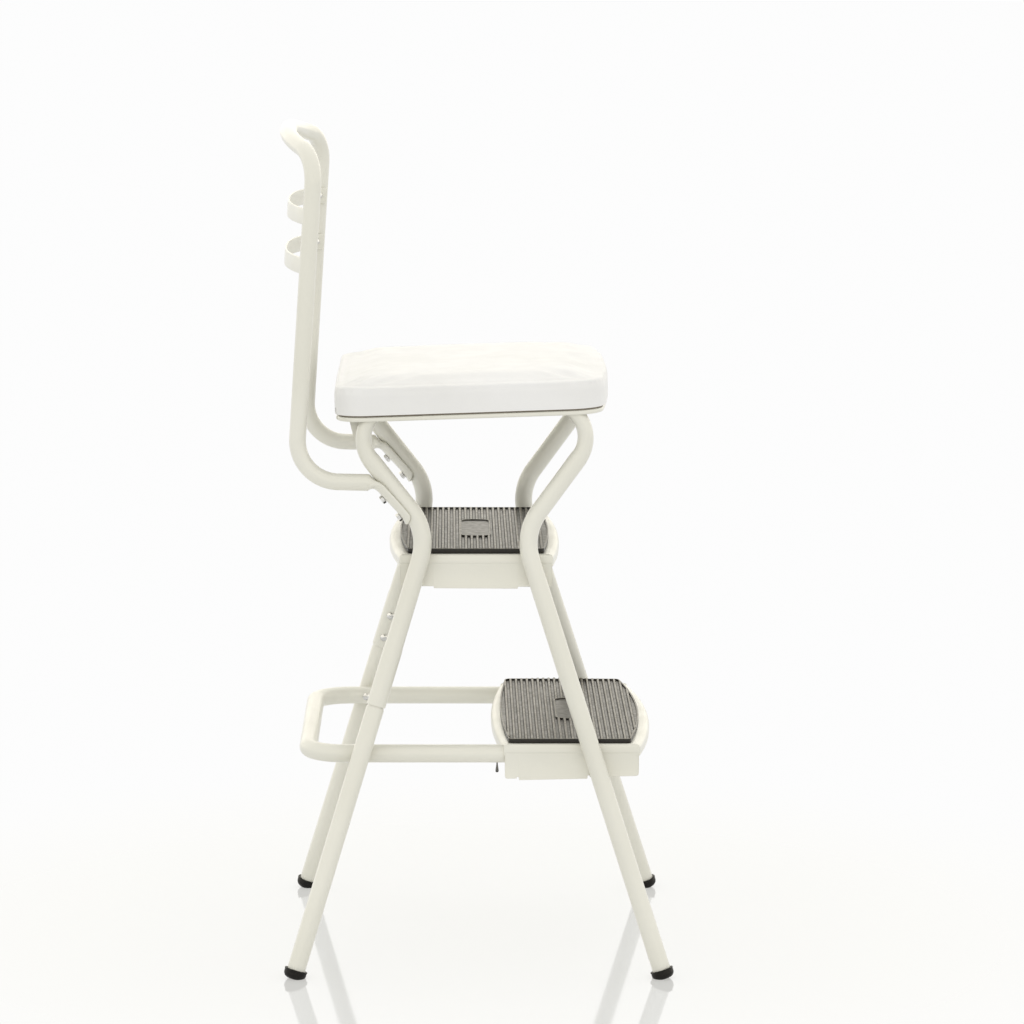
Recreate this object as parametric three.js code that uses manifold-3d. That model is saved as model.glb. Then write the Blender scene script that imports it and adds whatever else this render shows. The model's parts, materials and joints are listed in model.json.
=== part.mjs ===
// Counter chair with two fixed steps and a seat that tips up. Millimetres, Z up, the chair faces +X.
import * as THREE from 'three';
import { mergeVertices } from 'three/addons/utils/BufferGeometryUtils.js';
import Module from 'manifold-3d';

const wasm = await Module();
wasm.setup();

// Clearances shared by every piece
const seatGap = 0.3;
const runningGap = 0.1;
const overrun = 5;
const weldGap = 0.0005;

// Tubes
const tubeDiameter = 19.05;
const hoopDiameter = 17.5;
const tubeWall = 1.2;
const sheet = 1.2;
const outerSides = 14;
const innerSides = 8;
const bendStep = THREE.MathUtils.degToRad(19);
const waistStep = THREE.MathUtils.degToRad(16);

// Side frames: half width at the seat, spread of the feet, and the corner points of the bent tube
const sideHalfWidth = 165;
const legSpread = 53.1;
const footHalfWidth = sideHalfWidth + legSpread;
const frontFootX = 192.1;
const rearFootX = -194.8;
const frontWaistX = 43.6;
const frontWaistZ = 461.2;
const rearWaistX = -54.5;
const rearWaistRise = 1.7;
const rearWaistZ = frontWaistZ + rearWaistRise;
const waistRadius = 57;
const frontTopX = 144;
const frontTopRise = 137.8;
const frontTopZ = frontWaistZ + frontTopRise;
const rearTopX = -159.6;
const rearTopRise = 134.8;
const rearTopZ = frontWaistZ + rearTopRise;
const topRadius = 36;
const crushShare = 0.14;
const bulgeShare = 0.02;

// Rear leg socket, its screws, and the tube ends in the feet
const socketEndZ = 283;
const socketStartZ = 340;
const socketFlare = 6;
const socketSwell = 1.0;
const socketScrewZ = [320, 295];
const tubeEndZ = 6.5;

// Rubber foot caps
const capRadius = 11.8;
const capLip = 3;
const capFloorCut = 7.2;
const capRound = 6;
const roundCutShare = 1 - Math.SQRT1_2;

// Back hoop
const postFootRise = 55.3;
const postFootZ = frontWaistZ + postFootRise;
const postFootX = -193.1;
const postLean = 0.0634;
const postBend = 43;
const hoopRunRise = 53.6;
const hoopRunZ = frontWaistZ + hoopRunRise;
const hoopTabBend = 22;
const hoopShoulderRise = 363.8;
const hoopShoulderZ = frontWaistZ + hoopShoulderRise;
const hoopShoulderRadius = 35;
const hoopArchRadius = 770;
const hoopBow = 32.9;
const bowPower = 2.6;
const tabThick = 7.7;
const tabWide = 24.5;
const tabLength = 49.2;
const tabTipLength = 7;
const tabTipShares = [0.5, 0.85, 1];
const tabEaseShares = [1, 0.9, 0.55, 0.1];
const tabScrewAlong = [13, 38];

// Slats of the back
const slatHeight = 17.1;
const slatThick = 2;
const slatBow = 28;
const slatRises = { upper: 328.3, lower: 277.4 };
const slatLevels = Object.entries(slatRises).map(([level, rise]) => [level, frontWaistZ + rise]);
const slatCorner = 5;
const slatTab = 12;
const rivetForward = 1.8;
const slatSegments = 20;

// Screws, hexagon bolts and rivets
const roundSides = 8;
const domeShares = [[0.82, 0.7], [0.45, 1]];
const hexShares = [[1, 0.8], [0.84, 1]];
const screw = { head: 4, rise: 2.4, shank: 1.9, bite: 4, sides: roundSides, shares: domeShares };
const bolt = { head: 4.6, rise: 3.4, shank: 1.9, bite: 4, sides: 6, shares: hexShares };
const rivet = { head: 3.4, rise: 1.5, shank: 1.9, bite: 2.5, sides: roundSides, shares: domeShares };

// Upper step
const upperStepDrop = 22.7;
const upperStep = {
  top: frontWaistZ - upperStepDrop, rearX: -97, rearBow: 12, frontX: 85, frontBow: 9, corner: 1.5,
  skirtRear: 32.8, skirtFront: 33.6, endDrop: 12, lipFrom: 35, lipUpTo: 36, lipExtra: 2, lipNotch: 0,
  matRearX: -85.3, matRearBow: 9.3, matFrontX: 73.5, matFrontBow: 7.5, matThick: 5.5,
  matInset: 3.3, screwDrop: 17, badgeX: -4.8,
};

// Lower step
const lowerStep = {
  top: 241.5, rearX: 12.4, rearBow: 11.6, frontX: 183, frontBow: 16, corner: 1.5,
  skirtRear: 36, skirtFront: 33, endDrop: 12, lipFrom: 15, lipUpTo: 54, lipExtra: 1.7, lipNotch: 1.6,
  matRearX: 22.2, matRearBow: 7.3, matFrontX: 171.3, matFrontBow: 14.3, matThick: 5,
  matInset: 2.6, badgeX: 97.5,
};
const stepSideBend = 3;
const stepEndRoll = 7;
const creaseDepth = 8.5;
const creaseStep = 0.7;
const leanPower = 8;
const skirtEnds = [{ at: 0.4, lift: 2.4 }, { at: 3.2, lift: 0 }];
const lipStep = 0.5;
const lipNotchWide = 2.6;

// Ribbed rubber mats
const ribPitch = 6.1;
const grooveTop = 3.7;
const grooveFloor = 3.1;
const grooveDepth = 1.8;
const matEndBorder = 2.2;
const matSideBorder = 1.8;
const matCorner = 6;
const badgeHalfX = 16.3;
const badgeHalfY = 61;
const badgeBow = 4;
const badgeCorner = 11;
const badgeRim = 1.6;
const badgeDepth = 1.2;

// Brace round the back
const railDrop = 12.1;
const railGap = 0.5;
const crossbarX = -181;
const braceBend = 40;
const railFrontX = 150;
const railPinX = 17.5;
const railPinRadius = 0.8;
const railPinHead = 3.4;
const railPinHeadRise = 1.5;
const railPinDrop = 10.6;
const railPinTip = 1.7;
const railPinSeat = tubeDiameter / 2 - tubeWall - railPinHead * Math.tan(Math.PI / innerSides) - seatGap;
const railPinShares = [[0.7, 0.05], [1, 0.18], [0.86, 0.42], [0.55, 0.75]];

// Seat hinge
const hingeSetback = 19.2;
const hingeDrop = 6.7;
const seatTilt = THREE.MathUtils.degToRad(2);
const hingePinRadius = 3;
const plateEye = 6;
const earEye = 5.5;
const plateThick = 2.6;
const earThick = 2;
const earFlange = 18;
const earReach = 14;
const earInset = 2.2;
const pinHead = 5;
const pinHeadRise = 2;
const pinTail = 1.6;
const pinHeadShares = [[1, 0.7], [0.8, 1]];
const pinSides = 14;

// Cross members between the side frames
const crossBack = 9.5;
const crossDepth = 15;
const crossTop = 15;
const crossHeight = 15;
const crossSheet = 2;
const crossScrewRises = [-13, 8];
const neckSetback = 4.5;
const neckFoot = 8;
const plateFoot = 44;
const plateLap = 2;
const strapX = 62;
const strapDepth = 18;
const strapDrop = 3;
const strapTab = 12;

// Seat pan and cushion, measured from the hinge line in the tilted seat
const panClear = 0.8;
const panOverTube = 0.55;
const panRearSetback = 8.5;
const panLength = 282.6;
const panRearBow = 1.5;
const panFrontBow = 11;
const panRearCorner = 30;
const panFrontCorner = 31;
const cushionFrontCorner = 42;
const panShoulder = 6;
const rimDepth = 11.1;
const beadHeight = 8.3;
const beadWidth = 2.3;
const beadShares = [[0, 0], [0.7, 0.1], [1, 0.3], [1, 0.75], [0.6, 0.95], [0, 1]];
const slotHalf = 2;
const slotRise = 8.5;
const cushionSide = 3.9;
const cushionDrawIn = 1;
const cushionLift = 1;
const bandTop = 22;
const crownRise = 10;
const cushionShoulder = 9;
const crownStartShare = 0.32;
const crownShares = [[0.97, 0.22], [0.86, 0.5], [0.64, 0.8], [0.34, 0.96]];
const edgeShares = [[0.45, 0.2], [0.12, 0]];
const bandShares = [0.75, 0.4];
const hemShares = [0.6, 0.08];
const bumperRadius = 5.5;
const bumperFootShare = 0.75;
const bumperShare = 0.64;

const materials = {
  enamel: { color: 0xe2e0d6, roughness: 0.35, metalness: 0.1 },
  vinyl: { color: 0xf2efe8, roughness: 0.5, metalness: 0 },
  rubber: { color: 0x2b2b2b, roughness: 0.85, metalness: 0 },
  zinc: { color: 0xb9bab8, roughness: 0.35, metalness: 0.9 },
  darkSteel: { color: 0x4a4a48, roughness: 0.45, metalness: 0.8 },
};

const group = new THREE.Group();
group.name = 'step_chair';

const v3 = (x, y, z) => new THREE.Vector3(x, y, z);
const lateral = v3(0, 1, 0);
const upward = v3(0, 0, 1);

// Welded copy of a geometry without seams or collapsed triangles
function welded(geometry) {
  const bare = geometry.clone();
  bare.deleteAttribute('normal');
  bare.deleteAttribute('uv');
  const joined = mergeVertices(bare, weldGap);
  const source = joined.index.array;
  const kept = [];
  for (let i = 0; i < source.length; i += 3) {
    const [a, b, c] = [source[i], source[i + 1], source[i + 2]];
    if (a !== b && b !== c && c !== a) kept.push(a, b, c);
  }
  joined.setIndex(kept);
  return joined;
}

function toSolid(geometry) {
  const clean = welded(geometry);
  const vertProperties = Float32Array.from(clean.attributes.position.array);
  const triVerts = Uint32Array.from(clean.index.array);
  return new wasm.Manifold(new wasm.Mesh({ numProp: 3, vertProperties, triVerts }));
}

function toGeometry(solid) {
  const mesh = solid.getMesh();
  const geometry = new THREE.BufferGeometry();
  geometry.setAttribute('position', new THREE.BufferAttribute(Float32Array.from(mesh.vertProperties), 3));
  geometry.setIndex(Array.from(mesh.triVerts));
  return geometry;
}

function cut(geometry, tools) {
  let solid = toSolid(geometry);
  for (const tool of tools) solid = solid.subtract(toSolid(tool));
  return toGeometry(solid);
}

function join(geometries) {
  let solid = toSolid(geometries[0]);
  for (const other of geometries.slice(1)) solid = solid.add(toSolid(other));
  return toGeometry(solid);
}

function piece(name, geometry, materialName) {
  const mesh = new THREE.Mesh(welded(geometry), new THREE.MeshStandardMaterial(materials[materialName]));
  mesh.name = name;
  group.add(mesh);
}

// A tube follows stations, each with a point, a direction, an across direction and its section
class StationCurve extends THREE.Curve {
  constructor(stations, inset) {
    super();
    this.stations = stations;
    this.inset = inset;
  }

  stationAt(u) {
    return this.stations[Math.round(u * (this.stations.length - 1))];
  }

  getPoint(u) {
    return this.stationAt(u).point.clone();
  }

  getPointAt(u) {
    return this.getPoint(u);
  }

  getTangent(u) {
    return this.stationAt(u).tangent.clone();
  }

  getTangentAt(u) {
    return this.getTangent(u);
  }

  getSpacedPoints() {
    return this.stations.map((s) => s.point.clone());
  }

  computeFrenetFrames() {
    const frames = { tangents: [], normals: [], binormals: [] };
    for (const s of this.stations) {
      const inPlane = new THREE.Vector3().crossVectors(s.across, s.tangent).normalize();
      frames.tangents.push(s.tangent.clone());
      frames.normals.push(inPlane.multiplyScalar(s.thick / 2 - this.inset));
      frames.binormals.push(s.across.clone().multiplyScalar(s.wide / 2 - this.inset));
    }
    return frames;
  }
}

function ringShape(sides) {
  const points = [];
  for (let i = 0; i < sides; i += 1) {
    const angle = (2 * Math.PI * i) / sides;
    points.push(new THREE.Vector2(Math.cos(angle), Math.sin(angle)));
  }
  return new THREE.Shape(points);
}

function sweep(stations, inset, sides) {
  const extrudePath = new StationCurve(stations, inset);
  return new THREE.ExtrudeGeometry(ringShape(sides), { steps: stations.length - 1, extrudePath });
}

// Outer sweep less an inner sweep that runs past both open ends
function hollowTube(stations) {
  const first = stations[0];
  const last = stations[stations.length - 1];
  const before = { ...first, point: first.point.clone().addScaledVector(first.tangent, -overrun) };
  const after = { ...last, point: last.point.clone().addScaledVector(last.tangent, overrun) };
  return cut(sweep(stations, 0, outerSides), [sweep([before, ...stations, after], tubeWall, innerSides)]);
}

// Stations along straight lengths joined by round bends
function bentStations(corners, reference, diameter) {
  const stations = [];
  const add = (point, tangent, thick, wide) => {
    const along = reference.dot(tangent);
    const across = reference.clone().addScaledVector(tangent, -along).normalize();
    stations.push({ point, tangent, across, thick, wide });
  };
  corners.forEach((corner, i) => {
    const thick = corner.thick ?? diameter;
    const wide = corner.wide ?? diameter;
    const before = corners[i - 1];
    const after = corners[i + 1];
    const into = before ? corner.at.clone().sub(before.at).normalize() : null;
    const out = after ? after.at.clone().sub(corner.at).normalize() : null;
    if (!corner.bend) {
      add(corner.at.clone(), (out ?? into).clone(), thick, wide);
      return;
    }
    const turn = into.angleTo(out);
    const axis = new THREE.Vector3().crossVectors(into, out).normalize();
    const inward = new THREE.Vector3().crossVectors(axis, into);
    const start = corner.at.clone().addScaledVector(into, -corner.bend * Math.tan(turn / 2));
    const centre = start.clone().addScaledVector(inward, corner.bend);
    const steps = Math.ceil(turn / (corner.step ?? bendStep));
    for (let k = 0; k <= steps; k += 1) {
      const angle = (turn * k) / steps;
      const spoke = inward.clone().multiplyScalar(-corner.bend).applyAxisAngle(axis, angle);
      const squeeze = Math.sqrt(Math.sin((Math.PI * k) / steps));
      const crush = 1 - (corner.crush ?? 0) * squeeze;
      const bulge = 1 + (corner.crush ? bulgeShare : 0) * squeeze;
      add(centre.clone().add(spoke), into.clone().applyAxisAngle(axis, angle), thick * crush, wide * bulge);
    }
  });
  return stations;
}

// Body of revolution about Y from radius and height pairs, faces outwards
function revolve(profile, segments) {
  const points = profile.map(([r, s]) => new THREE.Vector2(r, s));
  const geometry = welded(new THREE.LatheGeometry(points, segments));
  return signedVolume(geometry) < 0 ? flipped(geometry) : geometry;
}

// Revolved fastener: the head's underside sits at the seat point and the shank runs along the axis
function placeOnAxis(geometry, seat, axis) {
  const turn = new THREE.Quaternion().setFromUnitVectors(v3(0, 1, 0), axis.clone().normalize());
  const shift = new THREE.Matrix4().makeTranslation(seat.x, seat.y, seat.z);
  return geometry.applyMatrix4(new THREE.Matrix4().makeRotationFromQuaternion(turn)).applyMatrix4(shift);
}

function fastener(seat, axis, kind, grip) {
  const length = grip + kind.bite;
  const crown = kind.shares.map(([across, up]) => [kind.head * across, -kind.rise * up]);
  const profile = [
    [0, length], [kind.shank, length], [kind.shank, 0], [kind.head, 0], ...crown, [0, -kind.rise],
  ];
  return placeOnAxis(revolve(profile, kind.sides), seat, axis);
}

function drill(seat, axis, radius, length, sides = roundSides) {
  const tool = new THREE.CylinderGeometry(radius, radius, length + 2 * overrun, sides);
  tool.translate(0, length / 2, 0);
  return placeOnAxis(tool, seat, axis);
}

// Legs: centre line, direction and half width at a height
const splaySlope = (footHalfWidth - sideHalfWidth) / ((frontWaistZ + rearWaistZ) / 2);
const splayCos = Math.cos(Math.atan(splaySlope));
const tubeRadius = tubeDiameter / 2;
const hoopRadius = hoopDiameter / 2;

function legPoint(end, side, z) {
  const [footX, waistX, waistZ] = end === 'front'
    ? [frontFootX, frontWaistX, frontWaistZ] : [rearFootX, rearWaistX, rearWaistZ];
  const share = z / waistZ;
  const y = footHalfWidth + (sideHalfWidth - footHalfWidth) * share;
  return v3(footX + (waistX - footX) * share, side * y, z);
}

function legDirection(end, side) {
  const waistZ = end === 'front' ? frontWaistZ : rearWaistZ;
  return legPoint(end, side, waistZ).sub(legPoint(end, side, 0)).normalize();
}

// Unit vector from a leg's axis straight away from the middle of the chair
function legOutward(end, side) {
  const along = legDirection(end, side);
  return v3(0, side, 0).addScaledVector(along, -side * along.y).normalize();
}

const innerFaceAt = (z) => Math.min(
  Math.abs(legPoint('front', 1, z).y), Math.abs(legPoint('rear', 1, z).y),
) - tubeRadius / splayCos;

// Screws that go from the middle of the chair outwards into a leg
function legScrew(end, side, z, thickness) {
  const outward = legOutward(end, side);
  const standoff = tubeRadius + thickness;
  const seat = legPoint(end, side, z).addScaledVector(outward, -standoff - seatGap);
  return { seat, axis: outward };
}

const sides = [['left', 1], ['right', -1]];

// Top bends: the rear one's centre gives the hinge line, and the run between them carries the seat
function bendCentre(before, corner, after, radius) {
  const into = corner.clone().sub(before).normalize();
  const out = after.clone().sub(corner).normalize();
  const turn = into.angleTo(out);
  const axis = new THREE.Vector3().crossVectors(into, out).normalize();
  const start = corner.clone().addScaledVector(into, -radius * Math.tan(turn / 2));
  return start.addScaledVector(new THREE.Vector3().crossVectors(axis, into), radius);
}

const rearWaist = v3(rearWaistX, 0, rearWaistZ);
const rearTop = v3(rearTopX, 0, rearTopZ);
const frontTop = v3(frontTopX, 0, frontTopZ);
const rearBend = bendCentre(rearWaist, rearTop, frontTop, topRadius);
const runZ = (x) => rearTopZ + ((x - rearTopX) * (frontTopZ - rearTopZ)) / (frontTopX - rearTopX);
const hinge = v3(rearBend.x - topRadius - hingeSetback, 0, runZ(rearBend.x) - hingeDrop);

const seatPlacement = new THREE.Matrix4().makeTranslation(hinge.x, hinge.y, hinge.z)
  .multiply(new THREE.Matrix4().makeRotationY(-seatTilt));
const inSeat = (geometry) => geometry.applyMatrix4(seatPlacement);

// Side tubes
function diagonal() {
  return rearTop.clone().sub(rearWaist).normalize();
}

const diagonalBack = v3(-diagonal().z, 0, diagonal().x);

function sideStations(side) {
  const y = side * sideHalfWidth;
  const at = (x, z) => v3(x, y, z);
  const swollen = tubeDiameter + socketSwell;
  return bentStations([
    { at: legPoint('front', side, tubeEndZ) },
    { at: at(frontWaistX, frontWaistZ), bend: waistRadius, step: waistStep },
    { at: at(frontTopX, frontTopZ), bend: topRadius, crush: crushShare },
    { at: at(rearTopX, rearTopZ), bend: topRadius, crush: crushShare },
    { at: at(rearWaistX, rearWaistZ), bend: waistRadius, step: waistStep },
    { at: legPoint('rear', side, socketStartZ + socketFlare) },
    { at: legPoint('rear', side, socketStartZ), thick: swollen, wide: swollen },
    { at: legPoint('rear', side, socketEndZ), thick: swollen, wide: swollen },
  ], lateral, tubeDiameter);
}

const socketHole = (tubeRadius + socketSwell / 2 - tubeWall) * Math.cos(Math.PI / innerSides);
const plugDiameter = 2 * (socketHole - seatGap);

// The hoop's flattened tab lies along the back of the rear diagonal
const tabOffset = tubeRadius + seatGap + tabThick / 2;
const tabLine = rearWaist.clone().addScaledVector(diagonalBack, tabOffset);
const tabCornerShare = (hoopRunZ - tabLine.z) / diagonal().z;
const tabCorner = tabLine.clone().addScaledVector(diagonal(), tabCornerShare);
const tabDown = diagonal().negate();
const tabTurn = tabDown.angleTo(v3(1, 0, 0));
const tabFlatStart = hoopTabBend * Math.tan(tabTurn / 2);
const rearFoot = v3(rearFootX, 0, 0);
const waistTurn = tabDown.angleTo(rearFoot.clone().sub(rearWaist));
const waistReach = waistRadius * Math.tan(waistTurn / 2);
const waistBend = bendCentre(rearTop, rearWaist, rearFoot, waistRadius);
const tabStraight = rearWaist.clone().addScaledVector(diagonal(), waistReach)
  .addScaledVector(diagonalBack, tabOffset).sub(tabCorner).dot(tabDown);
const tabEnd = tabLength + tabFlatStart - hoopTabBend / 3;

// Point of the tab's middle line: along the diagonal, then round the waist bend inside the tube
function tabPoint(along, side) {
  const point = tabCorner.clone().addScaledVector(tabDown, Math.min(along, tabStraight));
  const angle = Math.max(0, along - tabStraight) / (waistRadius - tabOffset);
  point.sub(waistBend).applyAxisAngle(lateral, angle).add(waistBend);
  return point.setY(side * sideHalfWidth);
}

const tabScrews = tabScrewAlong.map((along) => along + tabFlatStart - hoopTabBend / 7);

function tabScrewSeat(along, side, depth) {
  return tabPoint(along, side).addScaledVector(diagonalBack, depth);
}

const postX = (z) => postFootX + postLean * (z - postFootZ);
const hoopShoulderY = sideHalfWidth - hoopShoulderRadius;
const archAngle = Math.asin(hoopShoulderY / (hoopArchRadius - hoopShoulderRadius));
const archCentreZ = hoopShoulderZ - (hoopArchRadius - hoopShoulderRadius) * Math.cos(archAngle);

function bowAt(y, depth) {
  return depth * (1 - (Math.abs(y) / sideHalfWidth) ** bowPower);
}

function hoopHalf() {
  const flat = { thick: tabThick, wide: tabWide };
  const tips = tabTipShares.map((share, i) => {
    const back = (tabTipLength * i) / (tabTipShares.length - 1);
    return { at: tabPoint(tabEnd - back, -1), thick: tabThick, wide: tabWide * share };
  });
  const stations = bentStations([
    ...tips,
    { at: tabPoint(tabFlatStart + hoopRadius, -1), ...flat },
    { at: tabPoint(0, -1), bend: hoopTabBend },
    { at: v3(postFootX, -sideHalfWidth, postFootZ), bend: postBend },
    { at: v3(postX(hoopShoulderZ), -sideHalfWidth, hoopShoulderZ) },
  ], lateral, hoopDiameter);
  const bendAt = tips.length + 1;
  tabEaseShares.forEach((share, i) => {
    const s = stations[bendAt + i];
    s.thick = hoopDiameter + (tabThick - hoopDiameter) * share;
    s.wide = hoopDiameter + (tabWide - hoopDiameter) * share;
  });
  const points = [];
  const shoulderSteps = 6;
  const archSteps = 4;
  const shoulderEnd = Math.PI / 2 - archAngle;
  for (let k = 1; k <= shoulderSteps; k += 1) {
    const angle = (shoulderEnd * k) / shoulderSteps;
    points.push([
      hoopShoulderY + hoopShoulderRadius * Math.cos(angle),
      hoopShoulderZ + hoopShoulderRadius * Math.sin(angle),
    ]);
  }
  for (let k = 1; k <= archSteps; k += 1) {
    const angle = shoulderEnd + (archAngle * k) / archSteps;
    points.push([hoopArchRadius * Math.cos(angle), archCentreZ + hoopArchRadius * Math.sin(angle)]);
  }
  const curve = points.map(([y, z]) => v3(postX(z) - bowAt(y, hoopBow), -y, z));
  curve[curve.length - 1].y = 0;
  let previous = stations[stations.length - 1];
  curve.forEach((point, i) => {
    const next = i + 1 < curve.length ? curve[i + 1] : curve[i - 1].clone().setY(-curve[i - 1].y);
    const tangent = next.clone().sub(previous.point).normalize();
    const along = previous.across.dot(tangent);
    const across = previous.across.clone().addScaledVector(tangent, -along).normalize();
    const station = { point, tangent, across, thick: hoopDiameter, wide: hoopDiameter };
    stations.push(station);
    previous = station;
  });
  return stations;
}

function hoopStations() {
  const half = hoopHalf();
  const flip = (v) => v3(v.x, -v.y, v.z);
  const mirrored = half.slice(0, -1).reverse().map((s) => ({
    ...s,
    point: flip(s.point),
    tangent: flip(s.tangent).negate(),
    across: flip(s.across),
  }));
  return [...half, ...mirrored];
}

// Slat: a strip bowed backwards with both ends turned forwards along the posts' inner sides
function slatShape() {
  const tabY = sideHalfWidth - hoopRadius - seatGap - slatThick / 2;
  const path = [];
  const archEnd = tabY - slatCorner;
  const rise = bowAt(archEnd, slatBow);
  const slope = Math.atan((bowPower * slatBow * (archEnd / sideHalfWidth) ** bowPower) / archEnd);
  for (let i = 0; i <= slatSegments; i += 1) {
    const y = archEnd * (1 - (2 * i) / slatSegments);
    path.push([-bowAt(y, slatBow), y]);
  }
  const corner = [];
  const cornerSteps = 3;
  for (let k = 1; k <= cornerSteps; k += 1) {
    const angle = slope + ((Math.PI / 2 - slope) * k) / cornerSteps;
    corner.push([
      -rise + slatCorner * (Math.cos(slope) - Math.cos(angle)),
      archEnd + slatCorner * (Math.sin(angle) - Math.sin(slope)) / (1 - Math.sin(slope)),
    ]);
  }
  const last = corner[corner.length - 1];
  corner.push([last[0] + slatTab, last[1]]);
  const mirroredCorner = corner.map(([x, y]) => [x, -y]);
  const full = [...corner.slice().reverse(), ...path, ...mirroredCorner];
  const offset = (distance) => full.map(([x, y], i) => {
    const a = full[Math.max(i - 1, 0)];
    const b = full[Math.min(i + 1, full.length - 1)];
    const direction = new THREE.Vector2(b[0] - a[0], b[1] - a[1]).normalize();
    return new THREE.Vector2(x - direction.y * distance, y + direction.x * distance);
  });
  return new THREE.Shape([...offset(slatThick / 2), ...offset(-slatThick / 2).reverse()]);
}

// Plan outline with bowed ends and round corners: points with their outward normals
function planOutline(plan) {
  const half = (mid, bow, radius, direction, arcSteps) => {
    const arc = (plan.halfWidth ** 2 + bow ** 2) / (2 * bow);
    const centreX = mid - direction * arc;
    const cornerY = plan.halfWidth - radius;
    const reach = Math.sqrt((arc - radius) ** 2 - cornerY ** 2);
    const cornerX = centreX + direction * reach;
    const turn = Math.atan2(cornerY, reach);
    const points = [];
    for (let k = 0; k < arcSteps; k += 1) {
      const angle = (turn * k) / arcSteps;
      const normal = [direction * Math.cos(angle), Math.sin(angle)];
      const [nx, ny] = normal;
      points.push({ x: centreX + arc * nx, y: arc * ny, nx, ny, kind: 'end' });
    }
    for (let k = 0; k <= plan.cornerSteps; k += 1) {
      const angle = turn + ((Math.PI / 2 - turn) * k) / plan.cornerSteps;
      const normal = [direction * Math.cos(angle), Math.sin(angle)];
      points.push({
        x: cornerX + radius * normal[0],
        y: cornerY + radius * normal[1],
        nx: normal[0],
        ny: normal[1],
        kind: k === plan.cornerSteps ? 'sideEnd' : 'corner',
        share: k / plan.cornerSteps,
      });
    }
    return points;
  };
  const front = half(plan.frontX, plan.frontBow, plan.frontCorner, 1, plan.arcSteps);
  const rear = half(plan.rearX, plan.rearBow, plan.rearCorner, -1, plan.arcSteps);
  const from = front[front.length - 1].x;
  const to = rear[rear.length - 1].x;
  const between = (plan.sideStops ?? [])
    .map(({ at, drop, fromRear }) => ({
      x: fromRear ? to + at : from - at, y: plan.halfWidth, nx: 0, ny: 1, kind: 'side', drop,
    }))
    .sort((a, b) => b.x - a.x);
  const upper = [...front, ...between, ...rear.slice().reverse()];
  const lower = upper.slice(1, -1).reverse().map((p) => ({ ...p, y: -p.y, ny: -p.ny }));
  return [...upper, ...lower];
}

// Closed skin through a stack of rings, with a fan over the first and the last
function loftRings(rings, startTip, endTip) {
  const count = rings[0].length;
  const positions = [];
  const index = [];
  rings.forEach((ring) => ring.forEach((p) => positions.push(p.x, p.y, p.z)));
  const middle = (ring) => {
    const sum = v3(0, 0, 0);
    ring.forEach((p) => sum.add(p));
    return sum.divideScalar(ring.length);
  };
  const tips = [startTip ?? middle(rings[0]), endTip ?? middle(rings[rings.length - 1])];
  tips.forEach((p) => positions.push(p.x, p.y, p.z));
  const first = rings.length * count;
  for (let i = 0; i + 1 < rings.length; i += 1) {
    for (let j = 0; j < count; j += 1) {
      const k = (j + 1) % count;
      const [a, b, c, d] = [i * count + j, i * count + k, (i + 1) * count + k, (i + 1) * count + j];
      index.push(a, b, c, a, c, d);
    }
  }
  const end = (rings.length - 1) * count;
  for (let j = 0; j < count; j += 1) {
    const k = (j + 1) % count;
    index.push(first, k, j, first + 1, end + j, end + k);
  }
  const geometry = new THREE.BufferGeometry();
  geometry.setAttribute('position', new THREE.Float32BufferAttribute(positions, 3));
  geometry.setIndex(index);
  return signedVolume(geometry) < 0 ? flipped(geometry) : geometry;
}

function signedVolume(geometry) {
  const position = geometry.attributes.position;
  const index = geometry.index.array;
  let sum = 0;
  const [a, b, c] = [v3(0, 0, 0), v3(0, 0, 0), v3(0, 0, 0)];
  for (let i = 0; i < index.length; i += 3) {
    a.fromBufferAttribute(position, index[i]);
    b.fromBufferAttribute(position, index[i + 1]);
    c.fromBufferAttribute(position, index[i + 2]);
    sum += a.dot(b.cross(c));
  }
  return sum;
}

function flipped(geometry) {
  const index = Array.from(geometry.index.array);
  for (let i = 0; i < index.length; i += 3) [index[i + 1], index[i + 2]] = [index[i + 2], index[i + 1]];
  geometry.setIndex(index);
  return geometry;
}

const ringAt = (outline, offset, z) => outline.map((p) => v3(p.x - offset * p.nx, p.y - offset * p.ny, z));

function planPrism(outline, bottom, top) {
  return loftRings([ringAt(outline, 0, bottom), ringAt(outline, 0, top)]);
}

// Pressed step tray: top plate, rolled ends and skirts that lean with the legs
function stepHalfWidth(step) {
  return innerFaceAt(step.top) - seatGap / splayCos;
}

// Stops along a skirt from one of its ends: the rounded end, the notch and the start of the lip
function skirtStops(step, lipAt) {
  const ends = skirtEnds.map(({ at, lift }) => ({ at, drop: -lift }));
  const notch = step.lipNotch > 0 ? [
    { at: lipAt - lipNotchWide, drop: 0 },
    { at: lipAt - lipNotchWide + lipStep, drop: -step.lipNotch },
  ] : [];
  const lip = [{ at: lipAt - lipStep, drop: -step.lipNotch }, { at: lipAt, drop: step.lipExtra }];
  return [...ends, ...notch, ...lip];
}

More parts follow.
